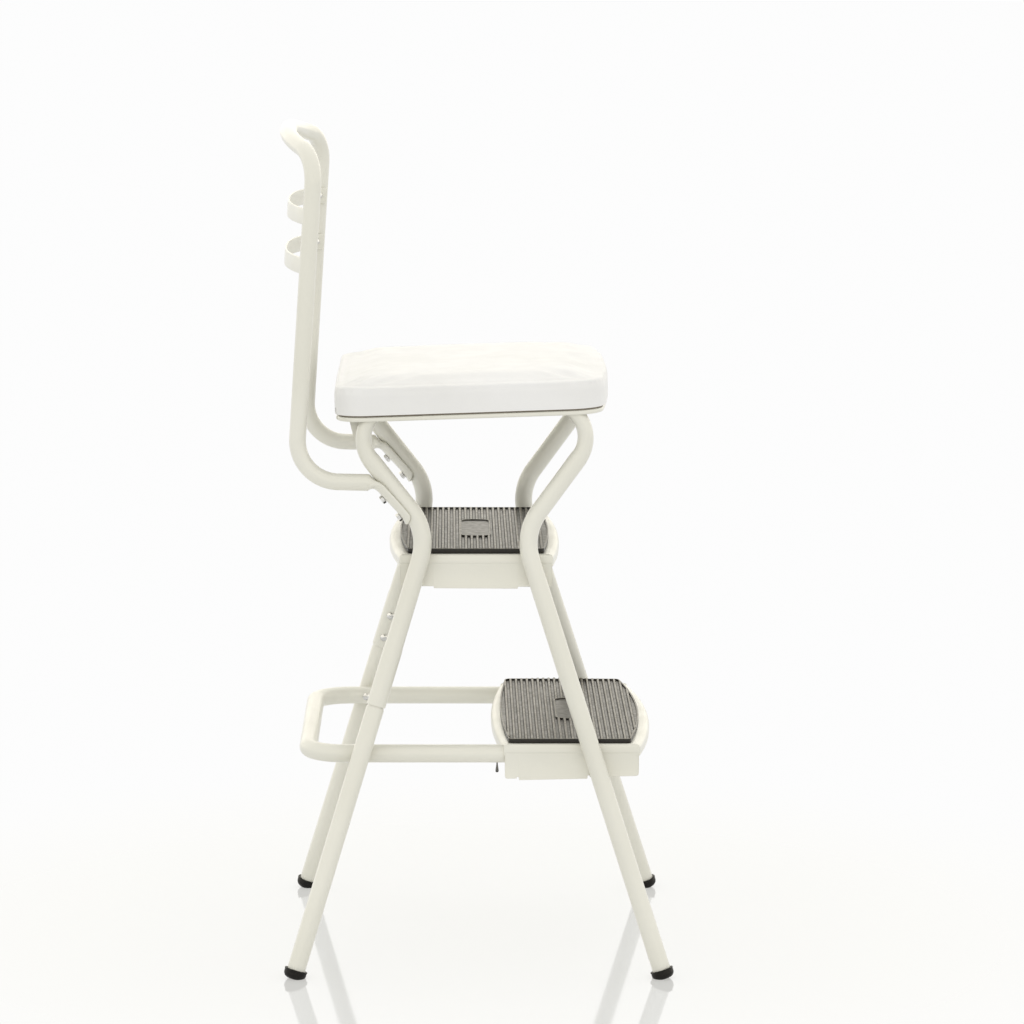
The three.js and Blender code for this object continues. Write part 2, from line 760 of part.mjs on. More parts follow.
function stepTray(step) {
  const halfWidth = stepHalfWidth(step);
  const outline = planOutline({
    halfWidth, rearX: step.rearX, rearBow: step.rearBow, frontX: step.frontX, frontBow: step.frontBow,
    rearCorner: step.corner, frontCorner: step.corner, cornerSteps: 1, arcSteps: 4,
    sideStops: [false, true].flatMap((fromRear) => skirtStops(step, fromRear ? step.lipFrom : step.lipUpTo)
      .map((stop) => ({ ...stop, fromRear }))),
  });
  const sideXs = outline.filter((p) => p.kind === 'side').map((p) => p.x);
  const [rearSide, frontSide] = [Math.min(...sideXs), Math.max(...sideXs)];
  const drops = outline.map((p) => {
    if (p.kind !== 'side') return step.endDrop;
    const share = (p.x - rearSide) / (frontSide - rearSide);
    return step.skirtRear + (step.skirtFront - step.skirtRear) * share + p.drop;
  });
  const rolls = outline.map((p) => {
    if (p.kind === 'end') return stepEndRoll;
    if (p.kind === 'corner') return stepEndRoll + (stepSideBend - stepEndRoll) * p.share;
    return stepSideBend;
  });
  const leans = outline.map((p) => Math.abs(p.ny) ** leanPower * splaySlope);
  const ring = (offsetOf, dropOf) => outline.map((p, i) => {
    const drop = dropOf(i);
    const offset = offsetOf(i) - leans[i] * drop;
    return v3(p.x - offset * p.nx, p.y - offset * p.ny, step.top - drop);
  });
  const arc = [0, Math.PI / 4, Math.PI / 2];
  const outer = arc.map((a) => ring(
    (i) => rolls[i] * (1 - Math.sin(a)),
    (i) => rolls[i] * (1 - Math.cos(a)),
  ));
  const inner = arc.map((a) => ring(
    (i) => sheet + (rolls[i] - sheet) * (1 - Math.sin(a)),
    (i) => sheet + (rolls[i] - sheet) * (1 - Math.cos(a)),
  )).reverse();
  return loftRings([
    ...outer,
    ring(() => 0, () => creaseDepth),
    ring(() => creaseStep, () => creaseDepth + creaseStep),
    ring(() => creaseStep, (i) => drops[i]),
    ring(() => creaseStep + sheet, (i) => drops[i]),
    ring(() => creaseStep + sheet, () => creaseDepth + creaseStep),
    ring(() => sheet, () => creaseDepth),
    ...inner,
  ]);
}

// Ribbed mat: closed grooves across the step, round a plain sunk panel with a raised rim
function badgePrism(step, inset, bottom, top) {
  const outline = planOutline({
    halfWidth: badgeHalfX - inset, rearX: -badgeHalfY + inset, rearBow: badgeBow,
    frontX: badgeHalfY - inset, frontBow: badgeBow, rearCorner: badgeCorner - inset,
    frontCorner: badgeCorner - inset, cornerSteps: 3, arcSteps: 1,
  });
  return planPrism(outline, bottom, top).rotateZ(Math.PI / 2).translate(step.badgeX, 0, 0);
}

function stepMat(step) {
  const bottom = step.top + seatGap;
  const top = step.top + step.matThick;
  const above = top + overrun;
  const outline = planOutline({
    halfWidth: stepHalfWidth(step) - step.matInset, rearX: step.matRearX, rearBow: step.matRearBow,
    frontX: step.matFrontX, frontBow: step.matFrontBow, rearCorner: matCorner, frontCorner: matCorner,
    cornerSteps: 3, arcSteps: 4,
  });
  const field = planOutline({
    halfWidth: stepHalfWidth(step) - step.matInset - matSideBorder, rearX: step.matRearX + matEndBorder,
    rearBow: step.matRearBow, frontX: step.matFrontX - matEndBorder, frontBow: step.matFrontBow,
    rearCorner: matCorner - matSideBorder, frontCorner: matCorner - matSideBorder,
    cornerSteps: 2, arcSteps: 4,
  });
  const room = step.matFrontX - step.matRearX - 2 * matEndBorder - grooveTop;
  const count = Math.floor(room / ribPitch) + 1;
  const first = (step.matFrontX + step.matRearX - (count - 1) * ribPitch) / 2;
  const floor = top - grooveDepth;
  const grooves = Array.from({ length: count }, (_, i) => new THREE.Shape([
    [-grooveFloor / 2, floor], [grooveFloor / 2, floor], [grooveTop / 2, top], [grooveTop / 2, above],
    [-grooveTop / 2, above], [-grooveTop / 2, top],
  ].map(([x, z]) => new THREE.Vector2(first + i * ribPitch + x, z))));
  const depth = 2 * stepHalfWidth(step);
  const comb = new THREE.ExtrudeGeometry(grooves, { depth, bevelEnabled: false });
  comb.rotateX(Math.PI / 2).translate(0, depth / 2, 0);
  const cutter = toSolid(comb).intersect(toSolid(planPrism(field, bottom, above)))
    .subtract(toSolid(badgePrism(step, 0, bottom, above)));
  return toGeometry(toSolid(planPrism(outline, bottom, top)).subtract(cutter)
    .subtract(toSolid(badgePrism(step, badgeRim, top - badgeDepth, above))));
}

// Side tubes with their drilled holes
const upperScrewZ = upperStep.top - upperStep.screwDrop;
const railZ = lowerStep.top - railDrop;
const skirtInner = innerFaceAt(railZ) - (seatGap + creaseStep + sheet) / splayCos;
const railHalfWidth = skirtInner - railGap - tubeRadius;
const upperSkin = seatGap + creaseStep + sheet;
const crossPlateY = sideHalfWidth - tubeRadius - seatGap;
const crossScrews = crossScrewRises.map((rise) => {
  const swing = Math.asin(rise / topRadius);
  return v3(rearBend.x - topRadius * Math.cos(swing), 0, rearBend.z + rise);
});
const strapZ = runZ(strapX);

const screws = [];
const sideTools = { left: [], right: [] };
const rearLegTools = { left: [], right: [] };
const tools = { hoop: [], upperTray: [], lowerTray: [], brace: [], cross: [], strap: [] };

function addScrew(name, seat, axis, grip, lists, kind = screw, material = 'zinc') {
  screws.push({ name, geometry: fastener(seat, axis, kind, grip), material });
  const radius = kind.shank + seatGap;
  for (const list of lists) list.push(drill(seat, axis, radius, grip + kind.bite - overrun));
}

for (const [name, side] of sides) {
  const middle = v3(0, side * sideHalfWidth, 0);
  ['front', 'rear'].forEach((end) => {
    const { seat, axis } = legScrew(end, side, upperScrewZ, upperSkin);
    const label = `upper_step_screw_${end}_${name}`;
    addScrew(label, seat, axis, upperSkin + tubeWall, [sideTools[name], tools.upperTray]);
  });
  socketScrewZ.forEach((z, i) => {
    const { seat, axis } = legScrew('rear', side, z, socketSwell / 2);
    const grip = 2 * tubeWall + 3 * seatGap;
    const label = `socket_screw_${i + 1}_${name}`;
    addScrew(label, seat, axis, grip, [sideTools[name], rearLegTools[name]]);
  });
  tabScrews.forEach((along, i) => {
    const seat = tabScrewSeat(along, side, tabThick / 2 + seatGap);
    const axis = diagonalBack.clone().negate();
    const grip = tabThick + tubeWall + 2 * seatGap;
    addScrew(`back_screw_${i + 1}_${name}`, seat, axis, grip, [sideTools[name], tools.hoop], bolt);
  });
  const outward = v3(0, side, 0);
  crossScrews.forEach((point, i) => {
    const seat = point.clone().add(middle).addScaledVector(outward, -tubeRadius - 2 * seatGap - plateThick);
    const grip = plateThick + tubeWall + seatGap;
    addScrew(`cross_screw_${i + 1}_${name}`, seat, outward, grip, [sideTools[name], tools.cross]);
  });
  const strapSeat = v3(strapX, side * (crossPlateY - plateThick - seatGap), strapZ);
  const strapGrip = plateThick + tubeWall + seatGap;
  addScrew(`strap_screw_${name}`, strapSeat, outward, strapGrip, [sideTools[name], tools.strap]);
  const railSeat = (end) => v3(
    legPoint(end, side, railZ).x, side * (railHalfWidth - tubeRadius - seatGap), railZ,
  );
  const railGrip = Math.abs(legPoint('rear', 1, railZ).y) - railHalfWidth + tubeWall;
  addScrew(`brace_screw_${name}`, railSeat('rear'), outward, railGrip, [rearLegTools[name], tools.brace]);
  addScrew(`lower_step_screw_${name}`, railSeat('front'), outward, railGrip, [
    sideTools[name], tools.lowerTray, tools.brace,
  ]);
  const pinSeat = v3(railPinX, side * railHalfWidth, railZ - railPinSeat);
  tools.brace.push(drill(pinSeat, v3(0, 0, -1), railPinRadius + seatGap, tubeRadius - railPinSeat));
  for (const [level, z] of slatLevels) {
    const tabY = sideHalfWidth - hoopRadius - 2 * seatGap - slatThick;
    const seat = v3(postX(z) + rivetForward, side * tabY, z);
    const label = `slat_rivet_${level}_${name}`;
    addScrew(label, seat, outward, slatThick + seatGap + tubeWall, [tools.hoop], rivet);
  }
}

for (const [name, side] of sides) {
  piece(`side_tube_${name}`, cut(hollowTube(sideStations(side)), sideTools[name]), 'enamel');
}

// Lower rear legs: full size below the socket, a reduced plug inside it
for (const [name, side] of sides) {
  const shoulder = socketEndZ - seatGap;
  const plug = { thick: plugDiameter, wide: plugDiameter };
  const stations = bentStations([
    { at: legPoint('rear', side, tubeEndZ) },
    { at: legPoint('rear', side, shoulder - socketFlare / 2) },
    { at: legPoint('rear', side, shoulder), ...plug },
    { at: legPoint('rear', side, socketStartZ - seatGap), ...plug },
  ], lateral, tubeDiameter);
  piece(`rear_leg_${name}`, cut(hollowTube(stations), rearLegTools[name]), 'enamel');
}

// Foot caps: a cup on each leg's end, cut flat at the floor
for (const end of ['front', 'rear']) {
  for (const [name, side] of sides) {
    const recess = tubeRadius / Math.cos(Math.PI / outerSides) + seatGap;
    const profile = [
      [0, -capFloorCut], [capRadius - capRound, -capFloorCut],
      [capRadius - capRound * roundCutShare, -capFloorCut + capRound * roundCutShare],
      [capRadius, -capFloorCut + capRound],
      [capRadius, capLip - capRound / 4], [capRadius - capRound / 4, capLip], [recess, capLip],
      [recess, -seatGap], [0, -seatGap],
    ];
    const seat = legPoint(end, side, tubeEndZ);
    const cup = placeOnAxis(revolve(profile, outerSides), seat, legDirection(end, side));
    const wide = 4 * capRadius;
    const floor = new THREE.BoxGeometry(wide, wide, wide);
    floor.translate(seat.x, seat.y, -wide / 2);
    piece(`foot_cap_${end}_${name}`, cut(cup, [floor]), 'rubber');
  }
}

// Back hoop and slats
piece('back_hoop', cut(hollowTube(hoopStations()), tools.hoop), 'enamel');
for (const [level, z] of slatLevels) {
  const strip = new THREE.ExtrudeGeometry(slatShape(), { depth: slatHeight, bevelEnabled: false });
  strip.translate(0, 0, -slatHeight / 2);
  strip.rotateY(Math.atan(postLean));
  strip.translate(postX(z), 0, z);
  const holes = sides.map(([, side]) => {
    const seat = v3(postX(z) + rivetForward, side * (sideHalfWidth - hoopDiameter), z);
    return drill(seat, v3(0, side, 0), rivet.shank + seatGap, hoopRadius);
  });
  piece(`slat_${level}`, cut(strip, holes), 'enamel');
}

// Steps
const railTools = sides.map(([, side]) => {
  const run = lowerStep.rearBow + stepEndRoll + overrun;
  const tool = new THREE.CylinderGeometry(tubeRadius + seatGap, tubeRadius + seatGap, run, outerSides);
  tool.rotateZ(Math.PI / 2);
  tool.translate(lowerStep.rearX + run / 2, side * railHalfWidth, railZ);
  return tool;
});
piece('upper_step_tray', cut(stepTray(upperStep), tools.upperTray), 'enamel');
piece('upper_step_mat', stepMat(upperStep), 'rubber');
piece('lower_step_tray', cut(stepTray(lowerStep), [...tools.lowerTray, ...railTools]), 'enamel');
piece('lower_step_mat', stepMat(lowerStep), 'rubber');

// Brace: both rails and the crossbar behind the rear legs are one tube
const braceStations = bentStations([
  { at: v3(railFrontX, -railHalfWidth, railZ) },
  { at: v3(crossbarX, -railHalfWidth, railZ), bend: braceBend },
  { at: v3(crossbarX, railHalfWidth, railZ), bend: braceBend },
  { at: v3(railFrontX, railHalfWidth, railZ) },
], upward, tubeDiameter);
piece('lower_u_brace', cut(hollowTube(braceStations), tools.brace), 'enamel');

// Pins that hang from the rails: a head inside the bore and a drop-shaped tip below
for (const [name, side] of sides) {
  const neck = tubeRadius - railPinSeat + seatGap;
  const end = tubeRadius - railPinSeat + railPinDrop;
  const profile = [
    [0, end], ...railPinShares.map(([across, up]) => [railPinTip * across, end - railPinDrop * up]),
    [railPinRadius, neck], [railPinRadius, 0], [railPinHead, 0], [railPinHead, -railPinHeadRise],
    [0, -railPinHeadRise],
  ];
  const seat = v3(railPinX, side * railHalfWidth, railZ - railPinSeat);
  piece(`rail_pin_${name}`, placeOnAxis(revolve(profile, roundSides), seat, v3(0, 0, -1)), 'darkSteel');
}

// Rear cross member: a folded bar with a hinge plate at each end
function hingePlateShape() {
  const points = [];
  const eyeSteps = 9;
  for (let k = 0; k <= eyeSteps; k += 1) {
    const angle = THREE.MathUtils.degToRad(-40 - (230 * k) / eyeSteps);
    points.push([hinge.x + plateEye * Math.cos(angle), hinge.z + plateEye * Math.sin(angle)]);
  }
  const inside = topRadius - tubeRadius + plateLap;
  const sweepSteps = 4;
  for (let k = 0; k <= sweepSteps; k += 1) {
    const angle = THREE.MathUtils.degToRad(128 + (72 * k) / sweepSteps);
    const radius = k === 0 ? topRadius : inside;
    points.push([rearBend.x + radius * Math.cos(angle), rearBend.z + radius * Math.sin(angle)]);
  }
  const footX = hinge.x + neckSetback + neckFoot;
  points.push([footX, hinge.z - plateFoot]);
  points.push([hinge.x + neckSetback, hinge.z - 2 * plateEye]);
  return new THREE.Shape(points.map(([x, z]) => new THREE.Vector2(x, z)));
}

function uprightPlate(shape, thickness, y) {
  const plate = new THREE.ExtrudeGeometry(shape, { depth: thickness, bevelEnabled: false });
  plate.rotateX(Math.PI / 2);
  plate.translate(0, y + thickness / 2, 0);
  return plate;
}

const hingeHole = (side, radius) => drill(
  v3(hinge.x, 0, hinge.z), v3(0, side, 0), radius / Math.cos(Math.PI / pinSides) + runningGap,
  sideHalfWidth, pinSides,
);
const crossPlates = sides.map(([, side]) => uprightPlate(
  hingePlateShape(), plateThick, side * (crossPlateY - plateThick / 2),
));
const barX = hinge.x + crossBack;
const barTop = hinge.z - crossTop;
const barShape = new THREE.Shape([
  [barX, barTop], [barX, barTop - crossHeight], [barX + crossSheet, barTop - crossHeight],
  [barX + crossSheet, barTop - crossSheet], [barX + crossDepth, barTop - crossSheet],
  [barX + crossDepth, barTop],
].map(([x, z]) => new THREE.Vector2(x, z)));
const bar = uprightPlate(barShape, 2 * crossPlateY - plateThick, 0);
piece('rear_cross_member', cut(join([bar, ...crossPlates]), [
  ...tools.cross, ...sides.map(([, side]) => hingeHole(side, hingePinRadius)),
]), 'enamel');

// Front strap: flat bar with turned-down ends between the top runs
const strapTop = strapZ + tubeRadius - strapDrop;
const strapBar = new THREE.BoxGeometry(strapDepth, 2 * crossPlateY, crossSheet);
strapBar.translate(strapX, 0, strapTop - crossSheet / 2);
const strapEnds = sides.map(([, side]) => {
  const tab = new THREE.BoxGeometry(strapDepth, plateThick, strapTab);
  tab.translate(strapX, side * (crossPlateY - plateThick / 2), strapTop - strapTab / 2);
  return tab;
});
piece('front_cross_strap', cut(join([strapBar, ...strapEnds]), tools.strap), 'enamel');

screws.forEach(({ name, geometry, material }) => piece(name, geometry, material));

// Seat pan: inverted pressed tray that nests over the side tubes' top runs
const plateUnder = (runZ(rearBend.x) + tubeRadius + panOverTube - hinge.z) * Math.cos(seatTilt)
  - (rearBend.x - hinge.x) * Math.sin(seatTilt);
const panTop = plateUnder + sheet;
const panHalfWidth = sideHalfWidth + tubeRadius * (1 + bulgeShare) + panClear + sheet;
const seatOutline = (grow, frontCorner) => planOutline({
  halfWidth: panHalfWidth + grow, rearX: -panRearSetback - grow, rearBow: panRearBow,
  frontX: panLength - panRearSetback + grow, frontBow: panFrontBow,
  rearCorner: panRearCorner + grow, frontCorner, cornerSteps: 5, arcSteps: 4,
});
const panOutline = seatOutline(0, panFrontCorner);
const cushionOutline = seatOutline(cushionSide, cushionFrontCorner);
const beadTop = -rimDepth + beadHeight;
const panRing = (offset, z) => ringAt(panOutline, offset, z);
const shoulderArc = [0, Math.PI / 4, Math.PI / 2];
const shoulderRings = (inset) => shoulderArc.map((a) => {
  const radius = panShoulder - inset;
  return panRing(inset + radius * (1 - Math.sin(a)), panTop - inset - radius * (1 - Math.cos(a)));
});
const bead = beadShares.map(([out, down]) => panRing(-beadWidth * out, beadTop - beadHeight * down));
const panSkin = loftRings([
  ...shoulderRings(0), ...bead, panRing(sheet, -rimDepth + sheet / 2), ...shoulderRings(sheet).reverse(),
]);
const slots = sides.map(([, side]) => {
  const depth = panRearSetback + overrun;
  const height = rimDepth + slotRise + overrun;
  const slot = new THREE.BoxGeometry(2 * depth, plateThick + 2 * slotHalf, height);
  slot.translate(-depth - plateEye / 2, side * (crossPlateY - plateThick / 2), slotRise - height / 2);
  return slot;
});
piece('seat_pan', inSeat(cut(panSkin, slots)), 'enamel');

// Cushion: crowned top, sides drawn in at the hem, recess for the pan
const cushionRing = (offset, z) => ringAt(cushionOutline, offset, z);
const hemZ = beadTop + cushionLift;
const shoulderTop = bandTop + crownRise * crownStartShare;
const edgeRing = cushionRing(cushionShoulder, shoulderTop);
const crownMiddle = panLength / 2 - panRearSetback;
const crownRings = crownShares.map(([share, rise]) => edgeRing.map((p) => v3(
  crownMiddle + (p.x - crownMiddle) * share, p.y * share,
  shoulderTop + (bandTop + crownRise - shoulderTop) * rise,
))).reverse();
const cushionSkin = loftRings([
  ...crownRings,
  edgeRing,
  ...edgeShares.map(([inward, up]) => cushionRing(cushionShoulder * inward, bandTop + crownRise * up)),
  ...bandShares.map((share) => cushionRing(0, bandTop * share)),
  cushionRing(cushionDrawIn * hemShares[0], hemZ + bandTop * hemShares[1]),
  cushionRing(cushionDrawIn + sheet / 2, hemZ),
  panRing(-seatGap, hemZ),
  ...shoulderRings(-seatGap).reverse(),
], v3(crownMiddle, 0, bandTop + crownRise));
piece('seat_cushion', inSeat(cushionSkin), 'vinyl');

// Hinge ears under the pan, and the pins through them
const earY = crossPlateY - plateThick - earInset - earThick / 2;
function earShape() {
  const points = [];
  const eyeSteps = 10;
  for (let k = 0; k <= eyeSteps; k += 1) {
    const angle = THREE.MathUtils.degToRad(180 + (150 * k) / eyeSteps);
    points.push([earEye * Math.cos(angle), earEye * Math.sin(angle)]);
  }
  const top = plateUnder - seatGap;
  const flat = panShoulder - panRearSetback + panRearBow + seatGap;
  points.push([earReach, top - earEye], [earReach, top], [flat, top], [-earEye, earEye]);
  return new THREE.Shape(points.map(([x, z]) => new THREE.Vector2(x, z)));
}
for (const [name, side] of sides) {
  const top = plateUnder - seatGap;
  const ear = uprightPlate(earShape(), earThick, side * earY);
  const flat = panShoulder - panRearSetback + panRearBow + seatGap;
  const flange = new THREE.BoxGeometry(earReach - flat, earFlange, earThick);
  flange.translate((earReach + flat) / 2, side * (earY + earThick / 2 - earFlange / 2), top - earThick / 2);
  const hole = new THREE.CylinderGeometry(1, 1, 4 * earThick, pinSides);
  const holeRadius = hingePinRadius / Math.cos(Math.PI / pinSides) + runningGap;
  hole.scale(holeRadius, 1, holeRadius);
  hole.translate(0, side * earY, 0);
  piece(`seat_hinge_ear_${name}`, inSeat(cut(join([ear, flange]), [hole])), 'enamel');
}
for (const [name, side] of sides) {
  const seat = v3(hinge.x, side * (earY - earThick / 2 - seatGap), hinge.z);
  const length = crossPlateY + pinTail + seatGap - Math.abs(seat.y);
  const profile = [
    [0, length], [hingePinRadius, length], [hingePinRadius, 0], [pinHead, 0],
    ...pinHeadShares.map(([across, up]) => [pinHead * across, -pinHeadRise * up]), [0, -pinHeadRise],
  ];
  const pin = placeOnAxis(revolve(profile, pinSides), seat, v3(0, side, 0));
  piece(`hinge_pin_${name}`, pin, 'zinc');
}

// Rubber bumpers between the pan and the top runs
const bumperX = hinge.x + panLength * bumperShare;
for (const [name, side] of sides) {
  const across = (bumperX - hinge.x) / Math.cos(seatTilt);
  const under = plateUnder - seatGap;
  const floorZ = (runZ(bumperX) + tubeRadius - hinge.z) / Math.cos(seatTilt) - across * Math.tan(seatTilt);
  const bottom = floorZ + 2 * seatGap;
  const profile = [
    [0, bottom], [bumperRadius * bumperFootShare, bottom], [bumperRadius, (bottom + under) / 2],
    [bumperRadius, under], [0, under],
  ];
  const bumper = revolve(profile, roundSides);
  bumper.rotateX(Math.PI / 2);
  bumper.translate(across, side * sideHalfWidth, 0);
  piece(`seat_bumper_${name}`, inSeat(bumper), 'rubber');
}

// The origin is the floor point under the middle of the whole part
const box = new THREE.Box3().setFromObject(group);
const middle = box.getCenter(v3(0, 0, 0));
group.children.forEach((mesh) => mesh.geometry.translate(-middle.x, -middle.y, -box.min.z));

export default group;
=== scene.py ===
"""Counter chair with two fixed steps and a seat that tips up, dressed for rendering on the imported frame."""
import json
import math

import bmesh
import bpy
from mathutils import Matrix, Vector, noise


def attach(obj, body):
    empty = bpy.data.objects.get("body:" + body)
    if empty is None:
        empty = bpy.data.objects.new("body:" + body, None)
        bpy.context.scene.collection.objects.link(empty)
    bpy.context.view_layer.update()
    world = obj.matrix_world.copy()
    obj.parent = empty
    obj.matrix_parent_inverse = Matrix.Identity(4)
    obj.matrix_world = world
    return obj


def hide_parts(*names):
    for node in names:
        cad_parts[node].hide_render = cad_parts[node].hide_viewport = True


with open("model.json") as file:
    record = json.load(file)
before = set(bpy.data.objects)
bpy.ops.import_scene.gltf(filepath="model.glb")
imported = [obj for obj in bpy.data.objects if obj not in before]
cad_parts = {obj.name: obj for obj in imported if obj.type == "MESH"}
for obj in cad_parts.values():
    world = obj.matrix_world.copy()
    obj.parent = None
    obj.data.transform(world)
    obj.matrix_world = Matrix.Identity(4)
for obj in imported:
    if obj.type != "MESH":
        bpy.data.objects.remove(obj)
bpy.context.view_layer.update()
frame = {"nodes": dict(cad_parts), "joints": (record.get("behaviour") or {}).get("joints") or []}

# Millimetres are used throughout and turned into metres when a mesh is made
MM = 0.001
SEAT_GAP = 0.3
SHEET = 1.2
TUBE_WALL = 1.2
TUBE = 19.05
HOOP = 17.5
RING_SIDES = 40
BEND_STEP = math.radians(3)

# Side frames
SIDE_HALF = 165
FOOT_HALF = 218.1
FRONT_FOOT_X = 192.1
REAR_FOOT_X = -194.8
FRONT_WAIST = Vector((43.6, 0, 461.2))
REAR_WAIST = Vector((-54.5, 0, 462.9))
WAIST_RADIUS = 57
FRONT_TOP = Vector((144, 0, 599))
REAR_TOP = Vector((-159.6, 0, 596))
TOP_RADIUS = 36
CRUSH = 0.14
BULGE = 0.02
SOCKET_END = 283
SOCKET_START = 340
SOCKET_FLARE = 6
SOCKET_SWELL = 1.0
TUBE_END = 6.5
TUBE_RIM = 0.35

# Back hoop and slats
POST_FOOT = Vector((-193.1, 0, 516.5))
POST_LEAN = 0.0634
POST_BEND = 43
HOOP_RUN_Z = 514.8
HOOP_TAB_BEND = 22
SHOULDER_Z = 825
SHOULDER_RADIUS = 35
ARCH_RADIUS = 770
HOOP_BOW = 32.9
BOW_POWER = 2.6
TAB_OFFSET = 10.2
TAB_THICK = 5.0
TAB_TAPER = 0.08
TAB_THIN = 2.8
TAB_WIDE = 29
TAB_LENGTH = 50.4
TAB_TIP = 7
TAB_TIP_SHARE = 0.45
TAB_MARGIN = 1
TAB_SQUARE = 3.2
TAB_BORE = 4
SADDLE_LEAST_SHARE = 0.02
SLAT_HEIGHT = 17.1
SLAT_THICK = 2
SLAT_BOW = 28
SLAT_LEVELS = {"upper": 789.5, "lower": 738.6}
SLAT_CORNER = 5
SLAT_TAB = 9.4
RIVET_BACK = 1.6
SLAT_EDGE = 0.8

# Steps
UPPER = {
    "top": 438.5, "rear_x": -97, "rear_bow": 12, "front_x": 85, "front_bow": 9,
    "skirt_rear": 32.8, "skirt_front": 33.6, "lip_from": 35, "lip_up_to": 36, "lip": 2, "notch": 0,
    "mat_rear_x": -85.3, "mat_rear_bow": 9.3, "mat_front_x": 73.5, "mat_front_bow": 7.5,
    "mat_top": 444, "mat_inset": 3.3, "badge_x": -4.8, "curl": 0.3,
}
LOWER = {
    "top": 241.5, "rear_x": 12.4, "rear_bow": 11.6, "front_x": 183, "front_bow": 16,
    "skirt_rear": 36, "skirt_front": 33, "lip_from": 15, "lip_up_to": 54, "lip": 1.7, "notch": 1.6,
    "mat_rear_x": 22.2, "mat_rear_bow": 7.3, "mat_front_x": 171.3, "mat_front_bow": 14.3,
    "mat_top": 246.5, "mat_inset": 2.6, "badge_x": 97.5, "curl": 1.7,
}
SIDE_BEND = 3
END_ROLL = 7
CREASE_DEPTH = 8.5
CREASE_STEP = 0.7
CREASE_RUN = 1.6
CREASE_UNDER = 2
STEP_CORNER = 1.5
END_DROP = 12
SKIRT_FROM = 1.7
SKIRT_START = 0.25
SKIRT_END_ROUND = (2.9, 2.4)
NOTCH_WIDE = 2.6
NOTCH_RAMP = 0.4
HEM_ROLL = 0.45
HEM_RUN = 4
HEM_TURN = 0.4
RIB_PITCH = 6.1
RIB_WIDE = 2.4
RIB_FOOT = 4.0
RIB_HEIGHT = 1.8
RIB_EDGE = 0.6
RIB_SINK = 0.2
RIB_OVERLAP = 0.5
MAT_FOOT = 0.3
MAT_EDGE = 0.7
MAT_BORDER = 1.8
BORDER_FOOT = 0.2
MAT_END = 2.2
GROOVE = 3.7
MAT_CORNER = 6
BADGE_HALF_X = 16.3
BADGE_HALF_Y = 61
BADGE_BOW = 4
BADGE_CORNER = 11
BADGE_RIM = 1.6
BADGE_DEPTH = 1.2
RIM_EDGE = 0.4
CURL_SHIFT = 8
CURL_REACH = 26
CURL_SHARE = 0.45
# Up-facing mat tops that take the paler rubber of painted sheen
SHEEN_TOP_DEPTH = 0.35
SHEEN_TOP_FACING = 0.75

# Brace
RAIL_DROP = 12.1
RAIL_GAP = 0.5
CROSSBAR_X = -181
BRACE_BEND = 40
RAIL_FRONT_X = 150

# Seat
HINGE_SETBACK = 19.2
HINGE_DROP = 6.7
SEAT_TILT = math.radians(2)
PAN_CLEAR = 0.8
PAN_OVER_TUBE = 0.55
PAN_REAR_SETBACK = 8.5
PAN_LENGTH = 282.6
PAN_REAR_BOW = 1.5
PAN_FRONT_BOW = 11
PAN_REAR_CORNER = 30
PAN_FRONT_CORNER = 31
CUSHION_FRONT_CORNER = 37
PAN_SHOULDER = 6
RIM_DEPTH = 11.1
BEAD_HEIGHT = 4.7
BEAD_WIDTH = 2.3
BEAD_FULLNESS = 0.6
CUSHION_SIDE = 3.9
CUSHION_LIFT = 1.7
BAND_TOP = 22

# Slots that clear the hinge plates
PLATE_THICK = 2.6
PLATE_EYE = 6
SLOT_HALF = 2
SLOT_RISE = 8.5
HEM_SLOT_RISE = 2
SLOT_PAST = 5


def at_side(point, side):
    """A point of the side profile moved out to that side frame."""
    return Vector((point.x, side * SIDE_HALF, point.z))


# Legs
SPLAY_SLOPE = (FOOT_HALF - SIDE_HALF) / ((FRONT_WAIST.z + REAR_WAIST.z) / 2)
SPLAY_COS = math.cos(math.atan(SPLAY_SLOPE))
TUBE_RADIUS = TUBE / 2


def leg_point(end, side, z):
    foot_x, waist = (FRONT_FOOT_X, FRONT_WAIST) if end == "front" else (REAR_FOOT_X, REAR_WAIST)
    share = z / waist.z
    y = FOOT_HALF + (SIDE_HALF - FOOT_HALF) * share
    return Vector((foot_x + (waist.x - foot_x) * share, side * y, z))


def leg_direction(end, side):
    waist = FRONT_WAIST if end == "front" else REAR_WAIST
    return (leg_point(end, side, waist.z) - leg_point(end, side, 0)).normalized()


def leg_outward(end, side):
    along = leg_direction(end, side)
    return (Vector((0, side, 0)) - along * (side * along.y)).normalized()


def inner_face(z):
    reach = min(abs(leg_point("front", 1, z).y), abs(leg_point("rear", 1, z).y))
    return reach - TUBE_RADIUS / SPLAY_COS


def bend_centre(before, corner, after, radius):
    into = (corner - before).normalized()
    out = (after - corner).normalized()
    axis = into.cross(out).normalized()
    start = corner - into * (radius * math.tan(into.angle(out) / 2))
    return start + axis.cross(into) * radius


def run_z(x):
    return REAR_TOP.z + (x - REAR_TOP.x) * (FRONT_TOP.z - REAR_TOP.z) / (FRONT_TOP.x - REAR_TOP.x)


REAR_BEND = bend_centre(REAR_WAIST, REAR_TOP, FRONT_TOP, TOP_RADIUS)
HINGE = Vector((REAR_BEND.x - TOP_RADIUS - HINGE_SETBACK, 0, run_z(REAR_BEND.x) - HINGE_DROP))
SHIFT = Vector((frame["joints"][0]["pos_m"][0] / MM - HINGE.x, 0, 0))
SEAT_PLACE = Matrix.Translation(HINGE) @ Matrix.Rotation(-SEAT_TILT, 4, "Y")
SIDES = (("left", 1), ("right", -1))


# Mesh making
def new_mesh(name, points, faces):
    mesh = bpy.data.meshes.new(name)
    mesh.from_pydata(points, [], faces)
    mesh.validate()
    return mesh


